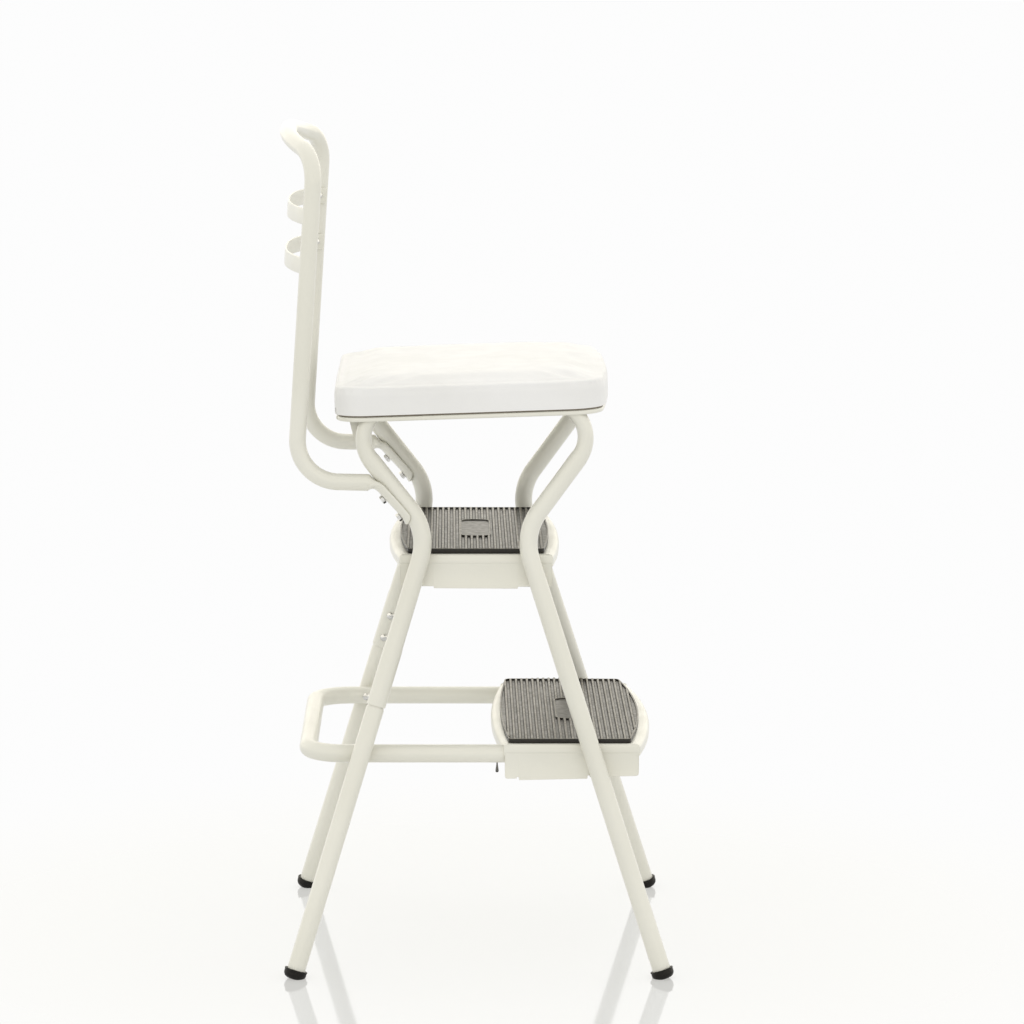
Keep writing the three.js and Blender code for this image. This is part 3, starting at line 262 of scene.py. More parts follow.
def face_outwards(mesh):
    shaped = bmesh.new()
    shaped.from_mesh(mesh)
    bmesh.ops.recalc_face_normals(shaped, faces=shaped.faces)
    shaped.to_mesh(mesh)
    shaped.free()


def to_metres(mesh):
    """The mesh moved from this script's millimetres to its place in the frame."""
    mesh.transform(Matrix.Translation(SHIFT))
    mesh.transform(Matrix.Scale(MM, 4))
    return mesh


def place_object(name, data):
    """A new object in the scene that carries a mesh, a lamp or a camera."""
    item = bpy.data.objects.new(name, data)
    bpy.context.scene.collection.objects.link(item)
    return item


def quarter(steps):
    """Angles from nothing to a quarter turn."""
    return [math.pi / 2 * k / steps for k in range(steps + 1)]


def dress(name, mesh, material, body, stands_for, sharp):
    """A smooth piece that rides on a body and stands for CAD nodes."""
    face_outwards(mesh)
    mesh.polygons.foreach_set("use_smooth", [True] * len(mesh.polygons))
    mesh.set_sharp_from_angle(angle=math.radians(sharp))
    mesh.materials.append(material)
    piece = place_object(name, mesh)
    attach(piece, body)
    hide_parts(*stands_for)
    return piece


def skin(rings):
    """Points and quads through a stack of equal rings, with a fan over each end."""
    count = len(rings[0])
    points = [p for ring in rings for p in ring]
    faces = []
    for i in range(len(rings) - 1):
        for j in range(count):
            k = (j + 1) % count
            faces.append((i * count + j, i * count + k, (i + 1) * count + k, (i + 1) * count + j))
    for ring, base in ((rings[0], 0), (rings[-1], (len(rings) - 1) * count)):
        faces += [(len(points), base + j, base + (j + 1) % count) for j in range(count)]
        points.append(sum((Vector(p) for p in ring), Vector()) / count)
    return points, faces


def join_parts(parts):
    """One list of points and faces from several."""
    points, faces = [], []
    for more_points, more_faces in parts:
        base = len(points)
        points += more_points
        faces += [tuple(base + i for i in f) for f in more_faces]
    return points, faces


def revolve(profile, seat, axis, segments=32):
    """A turned body: pairs of radius and distance along the axis from the seat point."""
    turn = Vector((0, 0, 1)).rotation_difference(axis)
    rings = []
    for radius, along in profile:
        ring = []
        for k in range(segments):
            angle = 2 * math.pi * k / segments
            local = Vector((radius * math.cos(angle), radius * math.sin(angle), along))
            ring.append(seat + turn @ local)
        rings.append(ring)
    return skin(rings)


# Bent tubes
def station(point, tangent, reference, thick, wide, square=2.0):
    """A place on a tube's centre line and the section there: square 2 is an ellipse, more is squarer."""
    across = (reference - tangent * reference.dot(tangent)).normalized()
    return {
        "point": point, "tangent": tangent, "across": across,
        "thick": thick, "wide": wide, "square": square,
    }


def bent_stations(corners, reference, diameter):
    """Stations along straight lengths joined by round bends, which may be crushed a little."""
    stations = []
    for i, corner in enumerate(corners):
        at = corner["at"]
        thick, wide = corner.get("thick", diameter), corner.get("wide", diameter)
        into = (at - corners[i - 1]["at"]).normalized() if i else None
        out = (corners[i + 1]["at"] - at).normalized() if i + 1 < len(corners) else None
        if "bend" not in corner:
            stations.append(station(at, out or into, reference, thick, wide))
            continue
        radius = corner["bend"]
        turn = into.angle(out)
        axis = into.cross(out).normalized()
        inward = axis.cross(into)
        centre = at - into * (radius * math.tan(turn / 2)) + inward * radius
        steps = math.ceil(turn / BEND_STEP)
        for k in range(steps + 1):
            rotation = Matrix.Rotation(turn * k / steps, 3, axis)
            squeeze = math.sqrt(max(math.sin(math.pi * k / steps), 0))
            crush = 1 - corner.get("crush", 0) * squeeze
            bulge = 1 + (BULGE if "crush" in corner else 0) * squeeze
            point = centre + rotation @ (inward * -radius)
            stations.append(station(point, rotation @ into, reference, thick * crush, wide * bulge))
    return stations


def section_ring(s, inset=0.0, along=0.0):
    """One ring of a tube: an ellipse, squarer where flattened and curved where it wraps another tube."""
    normal = s["across"].cross(s["tangent"]).normalized()
    power = 2 / s["square"]
    ring = []
    for k in range(RING_SIDES):
        angle = 2 * math.pi * k / RING_SIDES
        c, n = math.cos(angle), math.sin(angle)
        a = math.copysign(abs(c) ** power, c) * (s["thick"] / 2 - inset)
        b = math.copysign(abs(n) ** power, n) * (s["wide"] / 2 - inset)
        if "wrap" in s:
            turn, reach = b / s["wrap"], s["wrap"] - a
            a, b = s["wrap"] - reach * math.cos(turn), reach * math.sin(turn)
        ring.append(s["point"] + s["tangent"] * along + normal * a + s["across"] * b)
    return ring


def open_tube(stations, bore=14):
    """Tube skin whose open ends show the wall, a rounded rim and the dark bore."""
    ends = (
        (TUBE_WALL, bore), (TUBE_WALL, TUBE_RIM), (TUBE_WALL - TUBE_RIM, 0), (TUBE_RIM, 0), (0, TUBE_RIM),
    )
    rings = [section_ring(stations[0], inset, along) for inset, along in ends]
    rings += [section_ring(s) for s in stations[1:-1]]
    rings += [section_ring(stations[-1], inset, -along) for inset, along in reversed(ends)]
    return skin(rings)


def side_stations(side):
    swollen = TUBE + SOCKET_SWELL
    return bent_stations([
        {"at": leg_point("front", side, TUBE_END)},
        {"at": at_side(FRONT_WAIST, side), "bend": WAIST_RADIUS},
        {"at": at_side(FRONT_TOP, side), "bend": TOP_RADIUS, "crush": CRUSH},
        {"at": at_side(REAR_TOP, side), "bend": TOP_RADIUS, "crush": CRUSH},
        {"at": at_side(REAR_WAIST, side), "bend": WAIST_RADIUS},
        {"at": leg_point("rear", side, SOCKET_START + SOCKET_FLARE)},
        {"at": leg_point("rear", side, SOCKET_START), "thick": swollen, "wide": swollen},
        {"at": leg_point("rear", side, SOCKET_END), "thick": swollen, "wide": swollen},
    ], Vector((0, 1, 0)), TUBE)


def lower_leg_stations(side):
    plug = TUBE - 2 * TUBE_WALL
    shoulder = SOCKET_END - SEAT_GAP
    return bent_stations([
        {"at": leg_point("rear", side, TUBE_END)},
        {"at": leg_point("rear", side, shoulder - SOCKET_FLARE / 2)},
        {"at": leg_point("rear", side, shoulder), "thick": plug, "wide": plug},
        {"at": leg_point("rear", side, shoulder + SOCKET_FLARE), "thick": plug, "wide": plug},
    ], Vector((0, 1, 0)), TUBE)


# The hoop's flattened tabs follow the rear diagonals and the start of the waist bends
DIAGONAL = (REAR_TOP - REAR_WAIST).normalized()
DIAGONAL_BACK = Vector((-DIAGONAL.z, 0, DIAGONAL.x))
TAB_LINE = REAR_WAIST + DIAGONAL_BACK * TAB_OFFSET
TAB_CORNER = TAB_LINE + DIAGONAL * ((HOOP_RUN_Z - TAB_LINE.z) / DIAGONAL.z)
TAB_DOWN = -DIAGONAL
TAB_FLAT_START = HOOP_TAB_BEND * math.tan(TAB_DOWN.angle(Vector((1, 0, 0))) / 2)
REAR_FOOT = Vector((REAR_FOOT_X, 0, 0))
WAIST_CENTRE = bend_centre(REAR_TOP, REAR_WAIST, REAR_FOOT, WAIST_RADIUS)
WAIST_REACH = WAIST_RADIUS * math.tan(TAB_DOWN.angle(REAR_FOOT - REAR_WAIST) / 2)
TAB_STRAIGHT = (REAR_WAIST + DIAGONAL * WAIST_REACH + DIAGONAL_BACK * TAB_OFFSET - TAB_CORNER).dot(TAB_DOWN)
TAB_END = TAB_LENGTH + TAB_FLAT_START - HOOP_TAB_BEND / 3


def tab_point(along, side):
    point = TAB_CORNER + TAB_DOWN * min(along, TAB_STRAIGHT)
    angle = max(0, along - TAB_STRAIGHT) / (WAIST_RADIUS - TAB_OFFSET)
    point = WAIST_CENTRE + Matrix.Rotation(angle, 3, "Y") @ (point - WAIST_CENTRE)
    return at_side(point, side)


def post_x(z):
    return POST_FOOT.x + POST_LEAN * (z - POST_FOOT.z)


def bow_at(y, depth):
    return depth * (1 - (abs(y) / SIDE_HALF) ** BOW_POWER)


def smooth_step(t):
    t = min(max(t, 0), 1)
    return t * t * (3 - 2 * t)


def tab_thick(along):
    """The flattened end thins from the bend to its tip, down to its two walls."""
    return max(TAB_THIN, TAB_THICK - TAB_TAPER * (along - TAB_FLAT_START))


def hoop_half():
    """One tab from its tip, the forward run and the post up to the shoulder."""
    tip_steps, body_steps = 6, 8
    body = TAB_END - TAB_TIP
    tips = []
    for i in range(tip_steps + 1):
        along = TAB_END - TAB_TIP * i / tip_steps
        share = TAB_TIP_SHARE + (1 - TAB_TIP_SHARE) * math.sin(math.pi / 2 * i / tip_steps)
        tips.append({"at": tab_point(along, -1), "thick": tab_thick(along), "wide": TAB_WIDE * share})
    for i in range(1, body_steps + 1):
        along = body - (body - TAB_FLAT_START - TAB_MARGIN) * i / body_steps
        tips.append({"at": tab_point(along, -1), "thick": tab_thick(along), "wide": TAB_WIDE})
    stations = bent_stations([
        *tips,
        {"at": tab_point(0, -1), "bend": HOOP_TAB_BEND},
        {"at": at_side(POST_FOOT, -1), "bend": POST_BEND},
        {"at": Vector((post_x(SHOULDER_Z), -SIDE_HALF, SHOULDER_Z))},
    ], Vector((0, 1, 0)), HOOP)
    # The section opens from a saddle round the diagonal tube to a circle, never closer than the gap
    contact = TUBE_RADIUS + SEAT_GAP
    turn = TAB_DOWN.angle(Vector((1, 0, 0)))
    bend_steps = math.ceil(turn / BEND_STEP)
    for i, s in enumerate(stations):
        done = min(max((i - len(tips)) / bend_steps, 0), 1)
        if i < len(tips):
            middle, share = contact + s["thick"] / 2, 1
        else:
            middle = contact + TAB_THICK / 2
            away = TAB_OFFSET + HOOP_TAB_BEND * (1 - math.cos(turn * done))
            away += (middle - TAB_OFFSET) * (1 - smooth_step(done))
            half = min(HOOP / 2, (away - contact) / math.cos(turn * done))
            share = (HOOP - 2 * half) / (HOOP - TAB_THICK) if done < 1 else 0
            s["thick"] = 2 * half if done < 1 else HOOP
            s["wide"] = HOOP + (TAB_WIDE - HOOP) * share
        normal = s["across"].cross(s["tangent"]).normalized()
        s["point"] = s["point"] - normal * (middle - TAB_OFFSET) * (1 - smooth_step(done))
        s["square"] = 2 + (TAB_SQUARE - 2) * share
        if share > SADDLE_LEAST_SHARE:
            s["wrap"] = middle / share
    return stations


def hoop_stations():
    """The whole hoop: one half, the arched top and the mirrored half."""
    stations = hoop_half()
    shoulder_y = SIDE_HALF - SHOULDER_RADIUS
    arch_reach = ARCH_RADIUS - SHOULDER_RADIUS
    arch_angle = math.asin(shoulder_y / arch_reach)
    arch_centre_z = SHOULDER_Z - arch_reach * math.cos(arch_angle)
    shoulder_end = math.pi / 2 - arch_angle
    curve = []
    for centre_y, centre_z, radius, start, turn, steps in (
        (shoulder_y, SHOULDER_Z, SHOULDER_RADIUS, 0, shoulder_end, 26),
        (0, arch_centre_z, ARCH_RADIUS, shoulder_end, arch_angle, 24),
    ):
        for k in range(1, steps + 1):
            angle = start + turn * k / steps
            curve.append((centre_y + radius * math.cos(angle), centre_z + radius * math.sin(angle)))
    points = [Vector((post_x(z) - bow_at(y, HOOP_BOW), -y, z)) for y, z in curve]
    points[-1].y = 0
    flip = Matrix.Diagonal((1, -1, 1))
    for i, point in enumerate(points):
        after = points[i + 1] if i + 1 < len(points) else flip @ points[i - 1]
        tangent = (after - stations[-1]["point"]).normalized()
        stations.append(station(point, tangent, stations[-1]["across"], HOOP, HOOP))
    mirrored = []
    for s in reversed(stations[:-1]):
        turned = {key: flip @ s[key] for key in ("point", "tangent", "across")}
        mirrored.append({**s, **turned, "tangent": -turned["tangent"]})
    return stations + mirrored


# Slats: a strip with rounded edges, bowed backwards, its ends turned forwards along the posts
def slat_path():
    tab_y = SIDE_HALF - HOOP / 2 - SEAT_GAP - SLAT_THICK / 2
    arch_end = tab_y - SLAT_CORNER
    slope = math.atan(BOW_POWER * SLAT_BOW * (arch_end / SIDE_HALF) ** BOW_POWER / arch_end)
    rise = bow_at(arch_end, SLAT_BOW)
    segments, corner_steps = 60, 10
    half = [(-bow_at(y, SLAT_BOW), y) for y in (arch_end * k / segments for k in range(segments + 1))]
    for k in range(1, corner_steps + 1):
        angle = slope + (math.pi / 2 - slope) * k / corner_steps
        half.append((
            -rise + SLAT_CORNER * (math.cos(slope) - math.cos(angle)),
            arch_end + SLAT_CORNER * (math.sin(angle) - math.sin(slope)) / (1 - math.sin(slope)),
        ))
    half.append((half[-1][0] + SLAT_TAB, half[-1][1]))
    return [(x, -y) for x, y in reversed(half[1:])] + half


def slat_skin(level):
    path = slat_path()
    lean = Matrix.Rotation(math.atan(POST_LEAN), 3, "Y")
    centre = Vector((post_x(level), 0, level))
    edge_steps = 6
    profile = []
    for corner in range(4):
        u = (SLAT_THICK / 2 - SLAT_EDGE) * (1 if corner in (0, 3) else -1)
        v = (SLAT_HEIGHT / 2 - SLAT_EDGE) * (1 if corner in (0, 1) else -1)
        for k in range(edge_steps + 1):
            angle = math.pi / 2 * (corner + k / edge_steps)
            profile.append((u + SLAT_EDGE * math.cos(angle), v + SLAT_EDGE * math.sin(angle)))
    rings = []
    for i, (x, y) in enumerate(path):
        before, after = path[max(i - 1, 0)], path[min(i + 1, len(path) - 1)]
        along = Vector((after[0] - before[0], after[1] - before[1], 0)).normalized()
        outward = Vector((along.y, -along.x, 0))
        place = Vector((x, y, 0))
        rings.append([centre + lean @ (place + outward * u + Vector((0, 0, v))) for u, v in profile])
    return skin(rings)


# Plan outlines with bowed ends and round corners: points with outward normals
def plan_outline(half_width, rear_x, rear_bow, front_x, front_bow, rear_corner, front_corner, stops=(),
                 corner_steps=12, arc_steps=24):
    """Points round a plate, each with its normal, its kind of edge and its share of a corner's turn."""
    def edge_point(x, y, c, s, kind, share):
        return {"x": x, "y": y, "nx": c, "ny": s, "kind": kind, "share": share}

    def half(mid, bow, radius, way):
        arc = (half_width ** 2 + bow ** 2) / (2 * bow)
        centre_x = mid - way * arc
        corner_y = half_width - radius
        reach = math.sqrt((arc - radius) ** 2 - corner_y ** 2)
        turn = math.atan2(corner_y, reach)
        points = []
        for k in range(arc_steps):
            angle = turn * k / arc_steps
            c, s = way * math.cos(angle), math.sin(angle)
            points.append(edge_point(centre_x + arc * c, arc * s, c, s, "end", 0))
        for k in range(corner_steps + 1):
            share = k / corner_steps
            angle = turn + (math.pi / 2 - turn) * share
            c, s = way * math.cos(angle), math.sin(angle)
            x = centre_x + way * reach + radius * c
            points.append(edge_point(x, corner_y + radius * s, c, s, "corner", share))
        return points

    front = half(front_x, front_bow, front_corner, 1)
    rear = half(rear_x, rear_bow, rear_corner, -1)
    start, stop = front[-1]["x"], rear[-1]["x"]
    between = []
    for at, drop, from_rear in stops:
        x = stop + at if from_rear else start - at
        between.append({**edge_point(x, half_width, 0, 1, "side", 1), "drop": drop})
    between.sort(key=lambda p: -p["x"])
    upper = front + between + rear[::-1]
    lower = [{**p, "y": -p["y"], "ny": -p["ny"]} for p in upper[1:-1][::-1]]
    return upper + lower


def ring_at(outline, offset, z):
    return [Vector((p["x"] - offset * p["nx"], p["y"] - offset * p["ny"], z)) for p in outline]


def step_half_width(step):
    return inner_face(step["top"]) - SEAT_GAP / SPLAY_COS


def skirt_stops(step):
    """Stops along both skirts: the rounded lower corners, the small notches and the lip between them."""
    reach, lift = SKIRT_END_ROUND
    steps = 7
    stops = []
    for from_rear in (False, True):
        lip_at = step["lip_from"] if from_rear else step["lip_up_to"]
        for k in range(steps + 1):
            t = k / steps
            stops.append((SKIRT_START + reach * t, -lift * (1 - math.sqrt(1 - (1 - t) ** 2)), from_rear))
        if step["notch"]:
            notch_at = lip_at - NOTCH_WIDE
            stops += [(notch_at, 0, from_rear), (notch_at + NOTCH_RAMP, -step["notch"], from_rear)]
        stops += [(lip_at - NOTCH_RAMP, -step["notch"], from_rear), (lip_at, step["lip"], from_rear)]
    return stops


def tray_skin(step):
    """Pressed tray: top plate, rolled ends, a crease under the edge and skirts that lean with the legs."""
    wide = step_half_width(step)
    outline = plan_outline(
        wide, step["rear_x"], step["rear_bow"], step["front_x"], step["front_bow"],
        STEP_CORNER, STEP_CORNER, skirt_stops(step), corner_steps=6,
    )
    rear_side, *_, front_side = sorted(p["x"] for p in outline if p["kind"] == "side")
    rear_end, *_, front_end = sorted(p["x"] for p in outline if p["kind"] == "corner")

    def drop(p):
        if p["kind"] != "side":
            return END_DROP
        share = (p["x"] - rear_side) / (front_side - rear_side)
        return step["skirt_rear"] + (step["skirt_front"] - step["skirt_rear"]) * share + p["drop"]

    def inset(p, end_in, side_in, down):
        """The point moved inwards, kept out of its neighbours' way where the corner is tighter."""
        side_in -= SPLAY_SLOPE * down
        by = {"end": end_in, "side": side_in}.get(p["kind"])
        if by is None:
            by = min(end_in + (side_in - end_in) * p["share"], STEP_CORNER)
        x, y = p["x"] - by * p["nx"], p["y"] - by * p["ny"]
        if p["kind"] != "side":
            y = max(min(y, wide - side_in), side_in - wide)
        if p["kind"] != "end":
            x = max(min(x, front_end - end_in), rear_end + end_in)
        return Vector((x, y, step["top"] - down))

    def ring(end_in, side_in, drop_of):
        return [inset(p, end_in, side_in, drop_of(p)) for p in outline]

    def level(inward, drop_of):
        return ring(inward, inward, drop_of)

    def rolled(angle, sheet=0.0):
        """A ring on the rounded edge, or on the sheet's inner face."""
        def turned(bend, way):
            return sheet + (bend - sheet) * (1 - way(angle))

        def down(p):
            return turned(END_ROLL + (SIDE_BEND - END_ROLL) * p["share"], math.cos)

        return ring(turned(END_ROLL, math.sin), turned(SIDE_BEND, math.sin), down)

    angles = quarter(8)
    plate = END_ROLL * 3
    rings = [level(plate, lambda p: 0)] + [rolled(a) for a in angles]
    crease_steps = hem_steps = 5
    for k in range(crease_steps + 1):
        share = k / crease_steps
        bent = CREASE_STEP * smooth_step(share)
        rings.append(level(bent, lambda p, s=share: CREASE_DEPTH + CREASE_RUN * s))
    skirt_from = CREASE_DEPTH + SKIRT_FROM
    for k in range(1, hem_steps + 1):
        share = k / hem_steps
        bent = CREASE_STEP - HEM_ROLL * share ** 2
        rings.append(level(bent, lambda p, s=share: max(skirt_from, drop(p) - HEM_RUN * (1 - s))))
    under = CREASE_STEP + SHEET
    rings += [
        level(CREASE_STEP - HEM_ROLL + SHEET / 2, lambda p: drop(p) + HEM_TURN), level(under, drop),
        level(under, lambda p: CREASE_DEPTH + CREASE_UNDER), level(SHEET, lambda p: CREASE_DEPTH),
    ]
    rings += [rolled(a, SHEET) for a in reversed(angles)]
    rings.append(level(plate, lambda p: SHEET))
    return skin(rings)


def reach_at(ring, x):
    """Half width of a symmetric plan ring at x, or 0 past its ends."""
    upper = sorted((p.x, p.y) for p in ring if p.y >= 0)
    for (x0, y0), (x1, y1) in zip(upper, upper[1:]):
        if x0 <= x <= x1:
            return y0 + (y1 - y0) * (x - x0) / max(x1 - x0, 1e-6)
    return 0


def rib(x, y0, y1, base, top):
    """A rounded rubber rib along Y, its foot wider than its top."""
    profile = [(RIB_FOOT / 2, base)]
    for side in (1, -1):
        for angle in quarter(6)[::side]:
            u = RIB_WIDE / 2 - RIB_EDGE + RIB_EDGE * math.cos(angle)
            profile.append((side * u, top - RIB_EDGE + RIB_EDGE * math.sin(angle)))
    profile.append((-RIB_FOOT / 2, base))
    steps = 6
    places = [y0 + (y1 - y0) * k / steps for k in range(steps + 1)]
    return skin([[Vector((x + u, y, z)) for u, z in profile] for y in places])


def badge_ring(step, inset, z):
    outline = plan_outline(
        BADGE_HALF_X, -BADGE_HALF_Y, BADGE_BOW, BADGE_HALF_Y, BADGE_BOW, BADGE_CORNER, BADGE_CORNER,
        corner_steps=10, arc_steps=6,
    )
    return [Vector((step["badge_x"] - p.y, p.x, p.z)) for p in ring_at(outline, inset, z)]


def mat_skin(step):
    """Mat: a slab with a raised border, ribs across the step and a plain sunk panel inside a rim."""
    half_width = step_half_width(step) - step["mat_inset"]
    outline = plan_outline(
        half_width, step["mat_rear_x"], step["mat_rear_bow"], step["mat_front_x"], step["mat_front_bow"],
        MAT_CORNER, MAT_CORNER,
    )
    bottom, top = step["top"] + SEAT_GAP, step["mat_top"]
    floor = top - RIB_HEIGHT
    sunk = floor - RIB_SINK
    rings = [ring_at(outline, MAT_FOOT, bottom), ring_at(outline, 0, bottom + MAT_FOOT)]
    for a in quarter(4):
        rings.append(ring_at(outline, MAT_EDGE * (1 - math.cos(a)), top - MAT_EDGE * (1 - math.sin(a))))
    for a in quarter(3):
        inset = MAT_BORDER - RIM_EDGE + RIM_EDGE * math.sin(a)
        rings.append(ring_at(outline, inset, top - RIM_EDGE * (1 - math.cos(a))))
    rings.append(ring_at(outline, MAT_BORDER + BORDER_FOOT, floor))
    parts = [skin(rings)]
    room = step["mat_front_x"] - step["mat_rear_x"] - 2 * MAT_END - GROOVE
    count = int(room / RIB_PITCH)
    middle = (step["mat_rear_x"] + step["mat_front_x"]) / 2
    field, badge = ring_at(outline, MAT_BORDER - RIB_OVERLAP, 0), badge_ring(step, 1, 0)
    for i in range(count):
        x = middle + (i - (count - 1) / 2) * RIB_PITCH
        reach, inner = reach_at(field, x), reach_at(badge, x)
        if reach < RIB_PITCH:
            continue
        spans = [(-reach, -inner), (inner, reach)] if inner else [(-reach, reach)]
        parts += [rib(x, y0, y1, sunk, top) for y0, y1 in spans]
    panel = top - BADGE_DEPTH
    levels = [
        (0, sunk), (0, top - 0.4), (0.15, top - 0.1), (0.4, top), (BADGE_RIM - 0.4, top),
        (BADGE_RIM - 0.15, top - 0.1), (BADGE_RIM, top - 0.4), (BADGE_RIM + 0.1, panel),
        (BADGE_RIM + 1.4, panel), (BADGE_CORNER - 2, panel + 0.15),
    ]
    parts.append(skin([badge_ring(step, inset, z) for inset, z in levels]))
    points, faces = join_parts(parts)
    curled = []
    for p in points:
        off_middle = abs(p.x - middle + CURL_SHIFT) / (half_width * CURL_SHARE)
        lift = smooth_step((p.y - half_width + CURL_REACH) / CURL_REACH) * (1 - smooth_step(off_middle))
        curled.append(Vector((p.x, p.y, p.z + step["curl"] * lift)))
    return curled, faces


def paint_sheen_tops(piece, material, level):
    """The up-facing tops of a mat's ribs, border and rim take the second material, a paler rubber: painted
    sheen standing for the white surround they mirror.
    """
    piece.data.materials.append(material)
    for polygon in piece.data.polygons:
        if polygon.normal.z > SHEEN_TOP_FACING and polygon.center.z > (level - SHEEN_TOP_DEPTH) * MM:
            polygon.material_index = 1


def brace_stations():
    rail_z = LOWER["top"] - RAIL_DROP
    skirt_inner = inner_face(rail_z) - (SEAT_GAP + CREASE_STEP + SHEET) / SPLAY_COS
    half = skirt_inner - RAIL_GAP - TUBE_RADIUS
    return bent_stations([
        {"at": Vector((RAIL_FRONT_X, -half, rail_z))},
        {"at": Vector((CROSSBAR_X, -half, rail_z)), "bend": BRACE_BEND},
        {"at": Vector((CROSSBAR_X, half, rail_z)), "bend": BRACE_BEND},
        {"at": Vector((RAIL_FRONT_X, half, rail_z))},
    ], Vector((0, 0, 1)), TUBE)


# Seat pan
PLATE_UNDER = ((run_z(REAR_BEND.x) + TUBE_RADIUS + PAN_OVER_TUBE - HINGE.z) * math.cos(SEAT_TILT)
               - (REAR_BEND.x - HINGE.x) * math.sin(SEAT_TILT))
PAN_TOP = PLATE_UNDER + SHEET
PAN_HALF = SIDE_HALF + TUBE_RADIUS * (1 + BULGE) + PAN_CLEAR + SHEET
BEAD_TOP = -RIM_DEPTH + BEAD_HEIGHT


def seat_outline(grow, front_corner):
    return plan_outline(
        PAN_HALF + grow, -PAN_REAR_SETBACK - grow, PAN_REAR_BOW, PAN_LENGTH - PAN_REAR_SETBACK + grow,
        PAN_FRONT_BOW, PAN_REAR_CORNER + grow, front_corner,
    )


def in_seat(part):
    points, faces = part
    return [SEAT_PLACE @ Vector(p) for p in points], faces


def pan_skin():
    """The pan: a plate with a rounded shoulder, a rim with a rolled bead, and the sheet's inner face."""
    outline = seat_outline(0, PAN_FRONT_CORNER)
    plate = PAN_SHOULDER * 3
    rings = [ring_at(outline, plate, PAN_TOP)] + shoulder_rings(outline, 0)
    bead_steps = 16
    for k in range(bead_steps + 1):
        angle = math.pi * k / bead_steps
        width = BEAD_WIDTH * math.sin(angle) ** BEAD_FULLNESS
        rings.append(ring_at(outline, -width, BEAD_TOP - BEAD_HEIGHT * (1 - math.cos(angle)) / 2))
    rings.append(ring_at(outline, SHEET, -RIM_DEPTH + SHEET / 2))
    rings += shoulder_rings(outline, SHEET)[::-1]
    rings.append(ring_at(outline, plate, PAN_TOP - SHEET))
    return in_seat(skin(rings))


def box_skin(low, high):
    (x0, y0, z0), (x1, y1, z1) = low, high
    points = [Vector((x, y, z)) for z in (z0, z1) for x, y in ((x0, y0), (x1, y0), (x1, y1), (x0, y1))]
    faces = [(0, 3, 2, 1), (4, 5, 6, 7), (0, 1, 5, 4), (1, 2, 6, 5), (2, 3, 7, 6), (3, 0, 4, 7)]
    return points, faces


def shoulder_rings(outline, inset):
    """Rings down the pan's rounded shoulder, that far inside its skin."""
    radius = PAN_SHOULDER - inset
    return [ring_at(outline, inset + radius * (1 - math.sin(a)), PAN_TOP - inset - radius * (1 - math.cos(a)))
            for a in quarter(6)]


def scratch_object(name, part):
    """An object to cut or to cut with, in millimetres."""
    points, faces = part
    mesh = new_mesh(name, [tuple(p) for p in points], faces)
    face_outwards(mesh)
    return place_object(name, mesh)


def evaluated(item):
    """The item's mesh with its modifiers applied; the item itself is removed."""
    graph = bpy.context.evaluated_depsgraph_get()
    mesh = bpy.data.meshes.new_from_object(item.evaluated_get(graph))
    bpy.data.objects.remove(item)
    return mesh


def subtract(item, cutter):
    cut = item.modifiers.new("cut", "BOOLEAN")
    cut.operation = "DIFFERENCE"
    cut.solver = "EXACT"
    cut.object = cutter
    mesh = evaluated(item)
    bpy.data.objects.remove(cutter)
    return mesh


# Cushion: a vinyl cover blown up over its hem by a short cloth simulation, then cut to sit on the pan
HEM = BEAD_TOP + CUSHION_LIFT
CUSHION_VOXEL = 4.5
BLOCK_DROP = 9
CUSHION_START = 0.4
CUSHION_RISE = 7.5
SHOULDER = 3.6
BAND_RING_SHARE = 0.3
SHOULDER_STEPS = ((0, 1), (1, 2.5), (3, 3.2), (8, SHOULDER))
CROWN_SHARES = ((0.94, 0.3), (0.8, 0.62), (0.6, 0.85), (0.35, 0.97))
CLOTH_PRESSURE = 4
CLOTH_FRAMES = 20
HELD_BELOW = 5
FADE_IN = 32
CUSHION_CAP = 5.5
HEM_ROUND = 1.1
HEM_TOUCH = 0.1
CUT_REACH = 30
CUT_DROP = 40
CREST_OUT = 1.0
CREST_RISE = 2.5
CREST_WIDTH = 1.8
CREST_IN = 0.7
HOLLOW_DROP = 1.5
HOLLOW_WIDTH = 2.5
CREST_DEPTH = 6
CREST_REACH = 12
# Dark strip in the gap above the rim: painted shade standing for the gap's shadow
SHADE_STRIP_LIP = 0.8
SHADE_STRIP_DROP = 1.4
SHADE_STRIP_OVER = 1
SHADE_STRIP_EDGE = 1
SHADE_STRIP_FACING = 0.1
SEAM_IN = 11
SEAM_WIDTH = 2.4
SEAM_DEPTH = 0.9
SEAM_REACH = 4
PULLS = ((0.35, 0.018), (0.12, 0.06))


def cushion_start(outline):
    """The closed block that the simulation swells: a little smaller than the cover, its crown lower."""
    middle = Vector((PAN_LENGTH / 2 - PAN_REAR_SETBACK, 0, 0))
    rings = [ring_at(outline, CUSHION_START, z) for z in (HEM - BLOCK_DROP, HEM, BAND_TOP * BAND_RING_SHARE)]
    rings += [ring_at(outline, CUSHION_START + inset, BAND_TOP + rise) for inset, rise in SHOULDER_STEPS]
    edge = rings[-1]
    for share, rise_share in CROWN_SHARES:
        z = BAND_TOP + SHOULDER + (CUSHION_RISE - SHOULDER) * rise_share
        rings.append([Vector((middle.x + (p.x - middle.x) * share, p.y * share, z)) for p in edge])
    return skin(rings)


